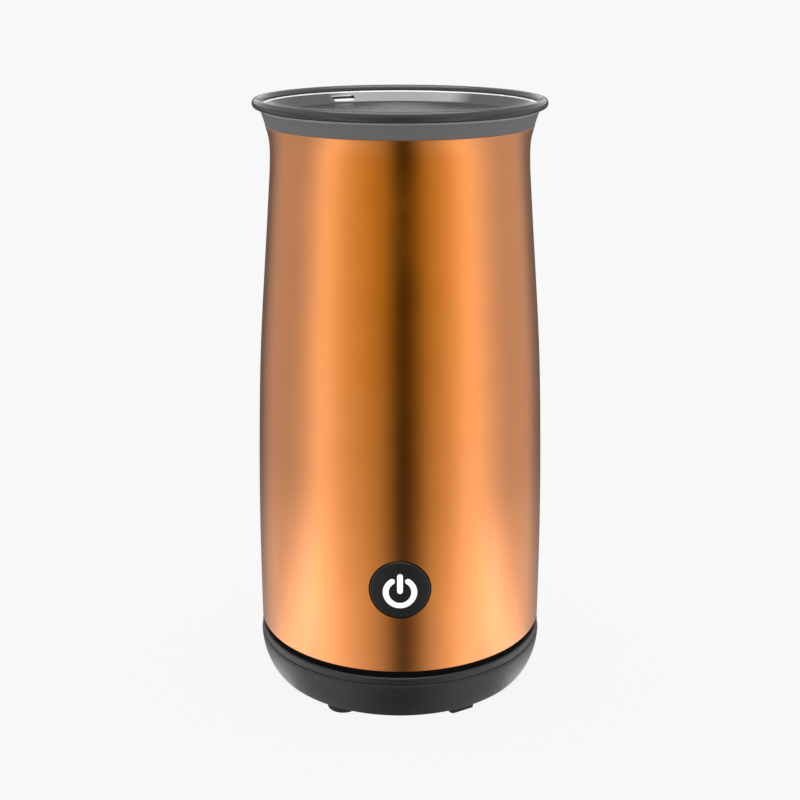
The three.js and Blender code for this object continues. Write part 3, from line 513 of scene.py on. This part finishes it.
rubber = finish("black_rubber", (0.012, 0.012, 0.012), (0.020, 0.020, 0.020), (0.62, 0.8), 1.0, 0.4)
gland_in, gland_out = gland_low[1], gland_high[1]
gland_outline = rounded([(3.2, gland_in, 0.2), (4.9, gland_in, 0.3), (4.9, gland_in + 1.4, 0.3),
                         (3.9, gland_in + 1.4), (3.9, gland_out, 0.35), (3.2, gland_out, 0.3)], 4)
make("cord_grommet", [along_y(turned(gland_outline, 80), gland_z)], rubber, "power_base",
     ["cord_gland"])


# ---------------------------------------------------------------- feet
# Soft rubber pads stuck under the bowl: two round domed ones and two with straight sides, placed
# corner to corner. They carry the whole weight.

def straight_pad(spot, angle, length, width, corner, low, high):
    """A block with rounded corners, made of stacked rings. A ring's point is the corner's radius times
    (cos, sin) of the angle round, moved out to the nearest corner's middle, and near the floor the
    ring is drawn in along a quarter circle."""
    sides, edge = 64, 0.5
    a = np.linspace(0, 2 * np.pi, sides, endpoint=False) + np.pi / sides
    t = np.linspace(0, np.pi / 2, 7)
    inset = np.append(edge * (1 - np.sin(t)), 0)[:, None]
    height = np.append(low + edge * (1 - np.cos(t)), high)[:, None]
    x = (length / 2 - corner) * np.sign(np.cos(a)) + (corner - inset) * np.cos(a)
    y = (width / 2 - corner) * np.sign(np.sin(a)) + (corner - inset) * np.sin(a)
    c, s = math.cos(angle), math.sin(angle)
    return stacked(np.stack([spot[0] + c * x - s * y, spot[1] + s * x + c * y, height + 0 * x], 2))


for node in ("foot_front_left", "foot_front_right", "foot_back_right", "foot_back_left"):
    low, high = box_mm(node)
    spot = spot_of(node)
    if node in ("foot_front_left", "foot_back_right"):
        pad = turned(rounded([(0, low[2]), (5.6, low[2], 0.7), (5.6, high[2]), (0, high[2])]), 80, spot)
    else:
        across = math.atan2(spot[1], spot[0]) + math.pi / 2
        pad = straight_pad(spot, across, length=9.6, width=5, corner=1.3, low=low[2], high=high[2])
    make("rubber_" + node, [pad], rubber, "power_base", [node])


# ---------------------------------------------------------------- sleeve of the jug
# Thin steel tube with a copper-coloured polished finish, drawn in to a neck under the rim and
# flared again at the very top. The push button comes through a round hole in its front.

def smooth_through(x, y, at):
    """Natural cubic spline through the points: a cubic between each pair, with slopes and bends that
    agree where two cubics meet. The bends come from one set of linear equations."""
    h = np.diff(x)
    n = len(x)
    k = np.arange(1, n - 1)
    a, b = np.eye(n), np.zeros(n)
    a[k, k - 1], a[k, k], a[k, k + 1] = h[:-1], 2 * (h[:-1] + h[1:]), h[1:]
    b[k] = 6 * (np.diff(y)[1:] / h[1:] - np.diff(y)[:-1] / h[:-1])
    m = np.linalg.solve(a, b)
    i = np.clip(np.searchsorted(x, at) - 1, 0, n - 2)
    t = at - x[i]
    slope = (y[i + 1] - y[i]) / h[i] - h[i] * (2 * m[i] + m[i + 1]) / 6
    return y[i] + slope * t + m[i] * t ** 2 / 2 + (m[i + 1] - m[i]) * t ** 3 / (6 * h[i])


sleeve_low, sleeve_high = box_mm("outer_sleeve")
sleeve_foot, sleeve_top = sleeve_low[2], sleeve_high[2]
sleeve_radius = 51.0
sleeve_wall = 0.8
# How far the wall is drawn in, by the height above the sleeve's foot.
height_up = np.array([0, 25, 49.5, 74, 98.5, 123, 142.5, 157.3, 168.5, 172.4, 174.9, 176.2, 177.3])
drawn_in = np.array([0, 0, 0.31, 1.03, 2.13, 3.92, 5.54, 6.72, 7.35, 7.18, 6.72, 6.35, 5.98])
up = np.linspace(0.4, sleeve_top - sleeve_foot - 0.3, 110)
sleeve_r = sleeve_radius - smooth_through(height_up, drawn_in, up)
sleeve_z = sleeve_foot + up
lip = sleeve_r[-1] + 0.1
outside = np.column_stack([sleeve_r, sleeve_z])
inside = np.column_stack([sleeve_r - sleeve_wall, sleeve_z])[::-6]
sleeve_outline = [(sleeve_radius - sleeve_wall, sleeve_foot, 0.2),
                  (sleeve_radius, sleeve_foot, 0.3), *outside.tolist(), (lip, sleeve_top, 0.12),
                  (lip - sleeve_wall - 0.1, sleeve_top, 0.12), *inside.tolist()]


def copper_finish():
    """Polished copper colour under clear lacquer. Fine lines run round the sleeve: noise squeezed to a
    hair's width up and down and stretched sideways makes the bump, and a broad cloud moves the colour
    and the roughness. The lacquer's gloss grows towards the sleeve's sides, and fades again at their
    very edge."""
    made = finish("polished_copper", (0.935, 0.276, 0.020), (0.975, 0.298, 0.024), (0.19, 0.22), 14.0,
                  0.0, Metallic=1.0, Coat_IOR=2.4, Coat_Roughness=0.2)
    tree = made.node_tree
    shader = tree.nodes["Principled BSDF"]
    place = wire(tree, "ShaderNodeTexCoord").outputs["Object"]
    lines = wire(tree, "ShaderNodeMapping", {"Vector": place, "Scale": (25, 25, 4500)})
    hair = wire(tree, "ShaderNodeTexNoise", {"Vector": lines.outputs[0], "Scale": 1.0, "Detail": 2.0})
    relief = wire(tree, "ShaderNodeBump", {"Height": hair.outputs["Fac"], "Strength": 0.12,
                                           "Distance": 0.00002})
    tree.links.new(relief.outputs[0], shader.inputs["Normal"])
    slant = wire(tree, "ShaderNodeLayerWeight", {"Blend": 0.5})
    gloss = ramp(tree, slant.outputs["Facing"], greys([(0.02, 0.0), (0.16, 0.5), (0.34, 0.85),
                                                       (0.65, 0.6), (0.95, 0.15)]))
    tree.links.new(gloss, shader.inputs["Coat Weight"])
    return made


copper = copper_finish()
sleeve = make("copper_sleeve", [turned(rounded(sleeve_outline), 256)], copper, "jug", ["outer_sleeve"],
              30)

cap_low, cap_high = box_mm("button_cap")
button_z = (cap_low[2] + cap_high[2]) / 2
button_radius = (cap_high[0] - cap_low[0]) / 2
hole_radius = button_radius + 0.35
hole_from, hole_to = -60, -30  # well past the sleeve's front wall on both sides
carve(sleeve, [along_y(rod(hole_radius, hole_from, hole_to, 128), button_z)], 30)


# ---------------------------------------------------------------- foot ring and cover of the jug
# The ring is a black moulding that plugs into the sleeve: a rounded band that shows, and a narrow
# groove between the band and the sleeve. The cover closes the jug from below, with three screws.

ring_low, ring_high = box_mm("jug_base_ring")
ring_foot, ring_top = ring_low[2], ring_high[2]
band_top = ring_foot + 2.65
ring_bore = 46.3
band_outline = rounded([(ring_bore, ring_foot, 0.3), (51.0, ring_foot - 0.05, 0.2),
                        (51.1, ring_foot + 0.6, 0.5), (51.05, band_top - 0.3, 0.3),
                        (50.75, band_top, 0.2), (48.4, band_top), (ring_bore, band_top)])
make("jug_foot_band", [turned(band_outline, 192)], black_plastic, "jug", ["jug_base_ring"])
# The groove and the spigot above it take a darker, duller black than the band: painted shade for the
# shadow in the narrow gap under the sleeve.
groove_painted_shade = finish("groove_black_painted_shade", (0.006, 0.006, 0.006), (0.009, 0.009, 0.009), (0.85, 0.95),
                      1.2, 0.3, Specular_IOR_Level=0.1)
spigot_outline = rounded([(ring_bore, band_top), (49.7, band_top), (49.7, band_top + 2.55),
                          (49.9, band_top + 2.55), (49.9, ring_top, 0.4), (48.1, ring_top, 0.4),
                          (48.1, band_top + 2.65), (42.1, band_top + 2.65, 0.3),
                          (42.1, band_top + 0.65), (ring_bore, band_top + 0.65)])
make("jug_foot_groove", [turned(spigot_outline, 192)], groove_painted_shade, "jug", ["jug_base_ring"])

cover_low, cover_high = box_mm("jug_bottom_cover")
cover_foot, cover_top = cover_low[2], cover_high[2]
cover_in, cover_out = 15.8, 46
cover_outline = rounded([(cover_in, cover_foot, 0.2), (cover_out, cover_foot, 0.4),
                         (cover_out, cover_top), (cover_in, cover_top)])
cover = make("jug_cover", [turned(cover_outline)], black_plastic, "jug", ["jug_bottom_cover"])
leg_spots = [spot_of(f"cover_screw_{n}") for n in (1, 2, 3)]
carve(cover, [rod(recess_radius, cover_foot - 2, cover_foot + 1.6, centre=spot) for spot in leg_spots])
screws("jug", "cover_screw", leg_spots)


# ---------------------------------------------------------------- socket of the jug
# The jug's half of the cordless connector, a black cup that comes down over the plug, with a brass
# ring contact and a centre pin.

cup_low, cup_high = box_mm("jug_connector")
cup_foot, cup_top = cup_low[2], cup_high[2]
roof = cup_foot + 7.7
cup_outline = rounded([(10, cup_foot, 0.5), (15.5, cup_foot, 0.4), (15.5, cup_foot + 2.6, 0.3),
                       (14, cup_foot + 3.0, 0.3), (14, cup_top, 0.5), (0, cup_top), (0, roof),
                       (10, roof, 0.4)])
make("jug_socket", [turned(cup_outline, 96)], black_plastic, "jug", ["jug_connector"])
contact("socket_ring_contact", "jug_ring_contact", 5.65, 6.05, "jug")
pin_low, pin_high = box_mm("jug_centre_pin")
pin_outline = rounded([(0, pin_low[2]), (1.1, pin_low[2], 0.7), (1.1, pin_high[2], 0.1),
                       (0, pin_high[2])], 5)
make("socket_centre_pin", [turned(pin_outline, 48)], contact_brass, "jug", ["jug_centre_pin"])


# ---------------------------------------------------------------- collar
# Matte grey plastic ring pressed into the top of the sleeve. It carries on the sleeve's flare, and
# the lid sits in its sloping seat.

grey_plastic = finish("matte_grey_plastic", (0.220, 0.222, 0.224), (0.238, 0.240, 0.242), (0.5, 0.6),
                      1.5, 0.3)
# Paler, glossier grey for the collar's lip: its paler colour is a painted highlight.
lip_painted_highlight = finish("collar_lip_painted_highlight", (0.42, 0.42, 0.425), (0.50, 0.50, 0.505), (0.12, 0.3),
                       4.0, 0.1)
collar_low, collar_high = box_mm("collar_ring")
collar_foot, collar_top = collar_low[2], collar_high[2]
collar_r = collar_high[0]
flare = np.linspace(0, 1, 14)
flare_foot = sleeve_top + 0.05
flare_out = np.column_stack([lip - 0.1 + (collar_r - lip + 0.1) * flare ** 1.2,
                             flare_foot + (collar_top - 0.25 - flare_foot) * flare])
collar_bore = 39.05
collar_outline = [(collar_bore, sleeve_top - 0.5, 0.2), (41.4, sleeve_top - 0.5),
                  (41.4, collar_foot, 0.3), (42.7, collar_foot, 0.3), (42.7, flare_foot),
                  *flare_out.tolist(), (collar_r - 0.05, collar_top, 0.2),
                  (collar_r - 0.7, collar_top, 0.15), (collar_r - 6.2, sleeve_top + 0.7, 0.2),
                  (collar_bore, sleeve_top + 0.7, 0.2)]
collar = make("grey_collar", [turned(rounded(collar_outline), 192)], grey_plastic, "jug",
              ["collar_ring"])


def second_finish(piece, other, chosen):
    """Gives the faces whose middles are chosen the piece's second material. chosen takes arrays of
    the middles' radius and height in millimetres."""
    piece.data.materials.append(other)
    count = len(piece.data.polygons)
    middle = np.empty(count * 3)
    piece.data.polygons.foreach_get("center", middle)
    middle = 1000 * middle.reshape(-1, 3)
    index = chosen(np.hypot(middle[:, 0], middle[:, 1]), middle[:, 2]).astype(np.int32)
    piece.data.polygons.foreach_set("material_index", index)


# The lip's outer corner is glossier and painted a paler grey: a painted highlight for the glints along
# it, and painted light against the shade that the lid's bead casts there.
lip_deep, lip_wide = 0.75, 0.9
second_finish(collar, lip_painted_highlight, lambda radius, height: (
    (height > collar_top - lip_deep) & (radius > collar_r - lip_wide)))


# ---------------------------------------------------------------- inner pot
# Deep-drawn steel pot with a dark non-stick coating, clamped under the collar with a silicone
# gasket. A steel pin in the middle of its floor carries the whisk, and three studs hold it down.

def pot_coating():
    """Dark grey coating with tiny pale flecks: the cells of a fine Voronoi pattern that fall near
    their own centre are lightened."""
    made = finish("non_stick_coating", (0.075, 0.077, 0.080), (0.105, 0.107, 0.111), (0.34, 0.46), 2.5,
                  0.2, Metallic=0.2)
    tree = made.node_tree
    shader = tree.nodes["Principled BSDF"]
    base = shader.inputs["Base Color"].links[0].from_socket
    place = wire(tree, "ShaderNodeTexCoord").outputs["Object"]
    cells = wire(tree, "ShaderNodeTexVoronoi", {"Vector": place, "Scale": 700.0})
    fleck = remap(tree, cells.outputs["Distance"], 0.12, 0.2, 0.5, 0.0)
    mixed = wire(tree, "ShaderNodeMix", {0: fleck, 6: base, 7: (0.26, 0.26, 0.265, 1)},
                 data_type="RGBA")
    tree.links.new(mixed.outputs[2], shader.inputs["Base Color"])
    return made


coating = pot_coating()
pot_low, pot_high = box_mm("inner_pot")
pin_foot, pin_top = box_mm("whisk_pin")[0][2], box_mm("whisk_pin")[1][2]
pot_floor = pin_foot - 0.1
pot_wall = 0.8
pot_under = pot_floor - pot_wall
pot_top = pot_high[2]
pot_r, flange_r = 39.5, pot_high[0]
pot_outline = rounded([(0, pot_under), (pot_r, pot_under, 7.8), (pot_r, pot_top - pot_wall, 0.2),
                       (flange_r, pot_top - pot_wall, 0.2), (flange_r, pot_top, 0.2),
                       (pot_r - pot_wall, pot_top, 0.6), (pot_r - pot_wall, pot_floor, 7.0),
                       (0, pot_floor)], 12)
stud_r, stud_top = 1.5, pot_under + 0.4
stud_outline = rounded([(0, pot_low[2]), (stud_r, pot_low[2], 0.4), (stud_r, stud_top),
                        (0, stud_top)], 3)
studs = [turned(stud_outline, 32, spot_of(f"pot_nut_{n}")) for n in (1, 2, 3)]
make("milk_pot", [turned(pot_outline, 160), *studs], coating, "jug", ["inner_pot"])

silicone = finish("grey_silicone", (0.20, 0.205, 0.21), (0.24, 0.245, 0.25), (0.5, 0.62), 1.5, 0.2,
                  Subsurface_Weight=0.05)
gasket_low, gasket_high = box_mm("pot_gasket")
gasket_in, gasket_out = 39.6, 40.8
gasket_outline = rounded([(gasket_in, gasket_low[2], 0.4), (gasket_out, gasket_low[2], 0.4),
                          (gasket_out, gasket_high[2], 0.4), (gasket_in, gasket_high[2], 0.4)])
make("pot_gasket_ring", [turned(gasket_outline, 128)], silicone, "jug", ["pot_gasket"])

pin_steel = finish("pin_steel", (0.58, 0.59, 0.60), (0.68, 0.69, 0.70), (0.18, 0.28), 0.8, 0.1,
                   Metallic=1.0)
axle_outline = rounded([(0, pin_foot), (2.75, pin_foot, 0.1), (2.75, pin_foot + 0.5, 0.2),
                        (1.6, pin_foot + 0.8, 0.3), (1.6, pin_top, 0.7), (0, pin_top)], 5)
make("whisk_axle_pin", [turned(axle_outline, 64)], pin_steel, "jug", ["whisk_pin"])


# ---------------------------------------------------------------- whisk
# A black hub with two magnets in its underside, and the frothing spring: a steel wire wound in
# small turns, running round the hub in a groove. It spins on the pin.

hub_low, hub_high = box_mm("whisk_hub")
hub_foot = hub_low[2]
hub_top = hub_foot + 6.6
hub_mid = (hub_foot + hub_top) / 2
coil_orbit = 16.0
a = np.radians(np.linspace(252, 108, 17))
groove_r = 3.15
groove = np.column_stack([coil_orbit + groove_r * np.cos(a), hub_mid + groove_r * np.sin(a)])
hub_outline = rounded([(1.9, hub_foot, 0.2), (14.6, hub_foot, 0.3), *groove.tolist(),
                       (14.6, hub_top, 0.3), (5, hub_top, 1.5), (3.4, hub_high[2] - 1.2, 1.2),
                       (0, hub_high[2]), (0, hub_foot + 10.1), (1.9, hub_foot + 10.1)])
hub = make("whisk_hub_body", [turned(hub_outline, 128)], black_plastic, "whisk", ["whisk_hub"])
carve(hub, [rod(3.9, hub_foot - 2, hub_foot + 3.3, centre=spot_of(f"whisk_magnet_{n}"))
            for n in (1, 2)])

# Wire of a ring-shaped coil: a circle of the wire's radius round a point that turns about the
# ring's middle line while it travels round the hub.
turns = 28
gap = 0.8  # of a turn, between the two ends of the wire
turn_r, wire_r = 2.35, 0.42
u = np.linspace(0, 1, turns * 18 + 1)[:, None]
v = np.linspace(0, 2 * np.pi, 10, endpoint=False)[None]
around = 2 * np.pi * turns * u
along = 2 * np.pi * u * (turns - gap) / turns
reach_out = coil_orbit + (turn_r + wire_r * np.cos(v)) * np.cos(around)
coil_z = hub_mid + (turn_r + wire_r * np.cos(v)) * np.sin(around)
lean = wire_r * np.sin(v)
coil = stacked(np.stack([reach_out * np.cos(along) - lean * np.sin(along),
                         reach_out * np.sin(along) + lean * np.cos(along), coil_z + 0 * lean], 2))
make("frothing_spring", [coil], pin_steel, "whisk", ["whisk_coil"])


# ---------------------------------------------------------------- push button
# A round satin black cap with a little play in its hole, its face bent to the sleeve's curve, and a
# white power symbol let into it, lit from behind.

button_black = finish("button_black_plastic", (0.006, 0.0065, 0.007), (0.010, 0.0105, 0.011),
                      (0.36, 0.44), 0.9, 0.2)
face_radius = -cap_low[1]
spring_room = 0.8  # left behind the cap, for the spring when the button is pressed
cap_depth = cap_high[1] - cap_low[1] - spring_room


def curved_disc(radius, thickness, edge, rings=28, sides=128):
    """A disc facing forwards. A ring at share s of the radius lies on the sleeve's curve, so its depth
    is the root of the curve's radius squared less x squared. Near its rim the face falls away by the
    edge's radius in a quarter circle, and the skirt runs straight back."""
    bend = np.linspace(0.2, np.pi / 2, 8)
    s = np.concatenate([np.linspace(0, 1 - edge / radius, rings),
                        1 - edge / radius * (1 - np.sin(bend))])[1:, None]
    fall = np.concatenate([np.zeros(rings), edge * (1 - np.cos(bend))])[1:, None]
    b = np.linspace(0, 2 * np.pi, sides, endpoint=False)
    x, z = radius * s * np.cos(b), radius * s * np.sin(b)
    y = -np.sqrt(face_radius ** 2 - x ** 2) + fall
    back_y = -face_radius + thickness
    skirt = np.stack([x[-1], 0 * b + back_y, button_z + z[-1]], 1)[None]
    points, faces = stacked(np.concatenate([np.stack([x, y, button_z + z], 2), skirt]))
    # A fan of triangles round a point in the middle takes the place of the face over the first ring.
    k = np.arange(sides)
    front = np.stack([np.full(sides, len(points)), np.roll(k, -1), k], 1).tolist()
    points = np.vstack([points, [0, -face_radius, button_z]])
    return points, faces[:-2] + front + faces[-1:]


symbol_ring = 4.75
stroke = 1.95
symbol_z = button_z - 0.8
bar_from, bar_to = symbol_z - 0.45, symbol_z + 6.7
opening = 34  # degrees each side of the top


def stroke_along(x, z, across_x, across_z, half, front, back_y):
    """A stroke carried along a path of points, with half its width at each point, narrow at the
    ends and closed there. front is how far its face stands past the cap's curve."""
    w = np.array([-1, -0.85, 0, 0.85, 1])[None] * half[:, None]
    px, pz = x[:, None] + w * across_x[:, None], z[:, None] + w * across_z[:, None]
    drop = np.array([0.12, 0, 0, 0, 0.12])[None]
    face = np.stack([px, -np.sqrt((face_radius + front) ** 2 - px ** 2) + drop, pz], 2)
    rear = np.stack([px[:, ::-1], np.full_like(px, back_y), pz[:, ::-1]], 2)
    return stacked(np.concatenate([face, rear], 1))


def power_symbol(grow, front, back_y):
    """The ring with its opening at the top, and the bar in it. Round ends: near an end, half the width
    is the root of its square less the square of how far in the end is short of it."""
    half = stroke / 2 + grow
    thinnest = 0.01  # half the width squared, at the very tip
    start, span = math.radians(90 + opening), math.radians(360 - 2 * opening)
    extra = half / symbol_ring
    t = 0.5 - 0.5 * np.cos(np.pi * np.linspace(0, 1, 90))
    angle = start - extra + (span + 2 * extra) * t
    short = symbol_ring * np.maximum(np.maximum(start - angle, angle - start - span), 0)
    w = np.sqrt(np.maximum(half ** 2 - short ** 2, thinnest))
    loop = stroke_along(symbol_ring * np.cos(angle), symbol_z + symbol_ring * np.sin(angle),
                        np.cos(angle), np.sin(angle), w, front, back_y)
    z = bar_from - grow + (bar_to - bar_from + 2 * grow) * t[::2]
    short = np.maximum(np.maximum(bar_from + stroke / 2 - z, z - bar_to + stroke / 2), 0)
    w = np.sqrt(np.maximum(half ** 2 - short ** 2, thinnest))
    bar = stroke_along(0 * z, z, np.ones_like(z), 0 * z, w, front, back_y)
    return loop, bar


cap = make("button_face", [curved_disc(button_radius, cap_depth, 0.4)], button_black, "button",
           ["button_cap"])
for shape in power_symbol(0.06, 1.0, -face_radius + 1.6):
    carve(cap, [shape])

lamp_white = bpy.data.materials.new("lit_white_lens")
lamp_white.use_nodes = True
tree = lamp_white.node_tree
shader = tree.nodes["Principled BSDF"]
place = wire(tree, "ShaderNodeTexCoord").outputs["Object"]
cloud = wire(tree, "ShaderNodeTexNoise", {"Vector": place, "Scale": 900.0, "Detail": 2.0})
milky = ramp(tree, cloud.outputs["Fac"], [(0.3, (0.86, 0.87, 0.88)), (0.7, (0.93, 0.93, 0.93))])
tree.links.new(milky, shader.inputs["Base Color"])
tree.links.new(milky, shader.inputs["Emission Color"])
shader.inputs["Emission Strength"].default_value = 0.7
shader.inputs["Roughness"].default_value = 0.35
make("power_symbol_lens", power_symbol(0, -0.02, -face_radius + 1.5), lamp_white, "button",
     ["symbol_lens"])


# ---------------------------------------------------------------- lid
# A smoked see-through moulding: a round bead along its rim, a shallow dish with a sloping side, a
# vent slot through the side at the back, and a skirt that goes down into the pot with a soft seal.

def smoked_plastic():
    """Smoked clear plastic. Its colour is a ramp over the distance from the middle: dark on the dish's
    floor, paler up the thin sloping side, and palest in the solid bead. The paler side and bead are
    painted light, lifted to stand in for the light that they catch. The side is glossier and the floor
    a little duller, and a broad noise makes the tint slightly uneven."""
    made = finish("smoked_clear_plastic", (0.95, 0.95, 0.95), (1.0, 1.0, 1.0), (0.05, 0.08), 8.0, 0.0,
                  IOR=1.45, Transmission_Weight=0.4, Coat_IOR=1.8, Coat_Roughness=0.06)
    tree = made.node_tree
    shader = tree.nodes["Principled BSDF"]
    cloudy = shader.inputs["Base Color"].links[0].from_socket
    place = wire(tree, "ShaderNodeTexCoord").outputs["Object"]
    whole = 50  # millimetres from the middle where the ramps come to their end
    flat = times(tree, place, (1000 / whole, 1000 / whole, 0))
    far = wire(tree, "ShaderNodeVectorMath", {0: flat}, operation="LENGTH").outputs["Value"]
    # The steps of this ramp are painted light: the side and bead are lifted so that they look lit.
    tint = ramp(tree, far, greys([(40.6, 0.015), (41.9, 0.08), (45.8, 0.08), (46.2, 0.12),
                                  (48.0, 0.11)], whole))
    gloss = ramp(tree, far, greys([(41.3, 0.0), (41.9, 0.5), (45.8, 0.5), (46.1, 0.0)], whole))
    polish = remap(tree, far, 40.8 / whole, 41.6 / whole, 0.2, 0.06)
    tree.links.new(gloss, shader.inputs["Coat Weight"])
    tree.links.new(polish, shader.inputs["Roughness"])
    tree.links.new(times(tree, tint, cloudy), shader.inputs["Base Color"])
    return made


smoked = smoked_plastic()
# Near-white and glossy: a painted highlight, not a colour of the plastic.
edge_painted_highlight = finish("lid_edge_painted_highlight", (0.84, 0.84, 0.84), (0.92, 0.92, 0.92), (0.15, 0.3), 4.0,
                    0.0, Coat_Weight=0.5)
lid_low, lid_high = box_mm("lid_dish")
lid_foot, lid_top = lid_low[2], lid_high[2]
bead = 1.6
bead_r, bead_z = lid_high[0] - bead, lid_top - bead
edge_r, edge_z = bead_r - 1.75, bead_z - 0.35
dish_r, dish_z = edge_r - 4.2, edge_z - 3.55
a = np.radians(np.linspace(190, -100, 61))
bead_arc = np.column_stack([bead_r + bead * np.cos(a), bead_z + bead * np.sin(a)])
seat = collar_top + 0.06
shelf = sleeve_top + 1.0
skirt_r, seal_floor, skirt_bore = 37.4, 36.4, 35.0
lid_outline = rounded([(0, dish_z), (dish_r, dish_z, 1.2), (edge_r - 0.4, edge_z - 0.338),
                       (edge_r, edge_z), *bead_arc.tolist(), (collar_r - 0.1, seat, 0.1),
                       (collar_r - 0.75, seat, 0.2), (collar_r - 6.0, shelf, 0.2),
                       (skirt_r, shelf, 0.2), (skirt_r, lid_foot + 5.0, 0.1),
                       (seal_floor, lid_foot + 5.0, 0.1), (seal_floor, lid_foot + 2.0, 0.1),
                       (skirt_r, lid_foot + 2.0, 0.1), (skirt_r, lid_foot, 0.4),
                       (skirt_bore, lid_foot, 0.4), (skirt_bore, shelf + 0.2, 0.6),
                       (0, shelf + 0.2)])
lid = make("smoked_lid", [turned(lid_outline, 192)], smoked, "lid", ["lid_dish"])

# A thin ring at the top edge of the sloping side is painted near-white: a painted highlight for the
# line of light along that edge.
edge_wide, edge_deep = 0.42, 0.36
second_finish(lid, edge_painted_highlight, lambda radius, height: (
    (radius > edge_r - edge_wide) & (radius < edge_r) & (height > edge_z - edge_deep)
    & (height < bead_z)))

vent_angle = math.radians(118)


def vent_cutter(section, half_width):
    """A prism: a closed outline of (radius, height) points carried straight across the slot, half
    the width to each side, and turned to the vent's place."""
    points = np.array(section, float)
    n = len(points)
    across = np.repeat([-half_width, half_width], n)
    radial, up = np.tile(points, (2, 1)).T
    c, s = math.cos(vent_angle), math.sin(vent_angle)
    vertices = np.column_stack([c * radial - s * across, s * radial + c * across, up])
    return stacked(vertices.reshape(2, n, 3))


# The slot goes through the dish's sloping side. Below it is a shallow ramp, whose cut faces take the
# edge's near-white painted highlight.
slot_low, slot_high = dish_z + 1.25, dish_z + 2.3
slot_in, slot_out, slot_half = 41, 46.8, 4.4
ramp_in, ramp_out, ramp_half = 42.3, 44.1, 3.9
carve(lid, [vent_cutter([(slot_in, slot_low), (slot_out, slot_low), (slot_out, slot_high),
                         (slot_in, slot_high)], slot_half)], 35)
carve(lid, [vent_cutter([(ramp_in, dish_z + 0.44), (ramp_out, dish_z + 1.2), (ramp_out, dish_z + 2.1),
                         (ramp_in, dish_z + 0.9)], ramp_half)], 35, edge_painted_highlight)

seal_low, seal_high = box_mm("lid_seal")
seal_foot, seal_top = seal_low[2], seal_high[2]
seal_in, seal_r = 36.55, seal_high[0]
seal_outline = rounded([(seal_in, seal_foot, 0.2), (seal_r - 0.3, seal_foot, 0.5),
                        (seal_r, (seal_foot + seal_top) / 2, 0.8), (seal_r - 0.3, seal_top, 0.5),
                        (seal_in, seal_top, 0.2)])
make("lid_seal_ring", [turned(seal_outline, 160)], silicone, "lid", ["lid_seal"])


# ---------------------------------------------------------------- drive and electronics
# Out of sight under the pot: the nylon chassis, the motor, the magnet carrier, the heating ring and
# its sensors, and the two circuit boards with what is on them. Each keeps its CAD shape.

nylon = finish("natural_nylon", (0.60, 0.57, 0.50), (0.68, 0.65, 0.58), (0.45, 0.6), 2.0, 0.3)
can_steel = finish("drawn_steel", (0.48, 0.49, 0.50), (0.60, 0.61, 0.62), (0.25, 0.4), 3.0, 0.15,
                   stretch=(1, 1, 8), Metallic=1.0)
black_inside = finish("moulded_black", (0.020, 0.020, 0.021), (0.030, 0.030, 0.031), (0.4, 0.55), 1.0,
                      0.3)
nickel = finish("nickel_plate", (0.55, 0.54, 0.52), (0.66, 0.65, 0.63), (0.12, 0.22), 1.5, 0.1,
                Metallic=1.0)
board_green = finish("circuit_board_green", (0.006, 0.085, 0.030), (0.012, 0.130, 0.048), (0.25, 0.4),
                     1.6, 0.2)
lamp_clear = finish("indicator_lamp", (0.80, 0.80, 0.78), (0.88, 0.88, 0.86), (0.2, 0.3), 0.5, 0.1)

inside_finishes = {
    "inner_chassis": nylon, "drive_magnet_carrier": nylon,
    "motor_can": can_steel, "motor_shaft": can_steel, "heating_element": can_steel,
    "thermal_cutout": can_steel, "button_spring": can_steel,
    "pot_nut_1": screw_steel, "pot_nut_2": screw_steel, "pot_nut_3": screw_steel,
    "motor_end_cap": black_inside, "relay": black_inside, "capacitor": black_inside,
    "tact_switch": black_inside, "button_guide": black_inside, "switch_plunger": black_inside,
    "pot_clamp_ring": black_inside,
    "drive_magnet_1": nickel, "drive_magnet_2": nickel, "whisk_magnet_1": nickel,
    "whisk_magnet_2": nickel, "choke_coil": contact_brass, "temperature_sensor": contact_brass,
    "main_circuit_board": board_green, "button_circuit_board": board_green,
    "indicator_lamp_1": lamp_clear, "indicator_lamp_2": lamp_clear,
}
for node, material in inside_finishes.items():
    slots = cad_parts[node].data.materials
    slots.clear()
    slots.append(material)
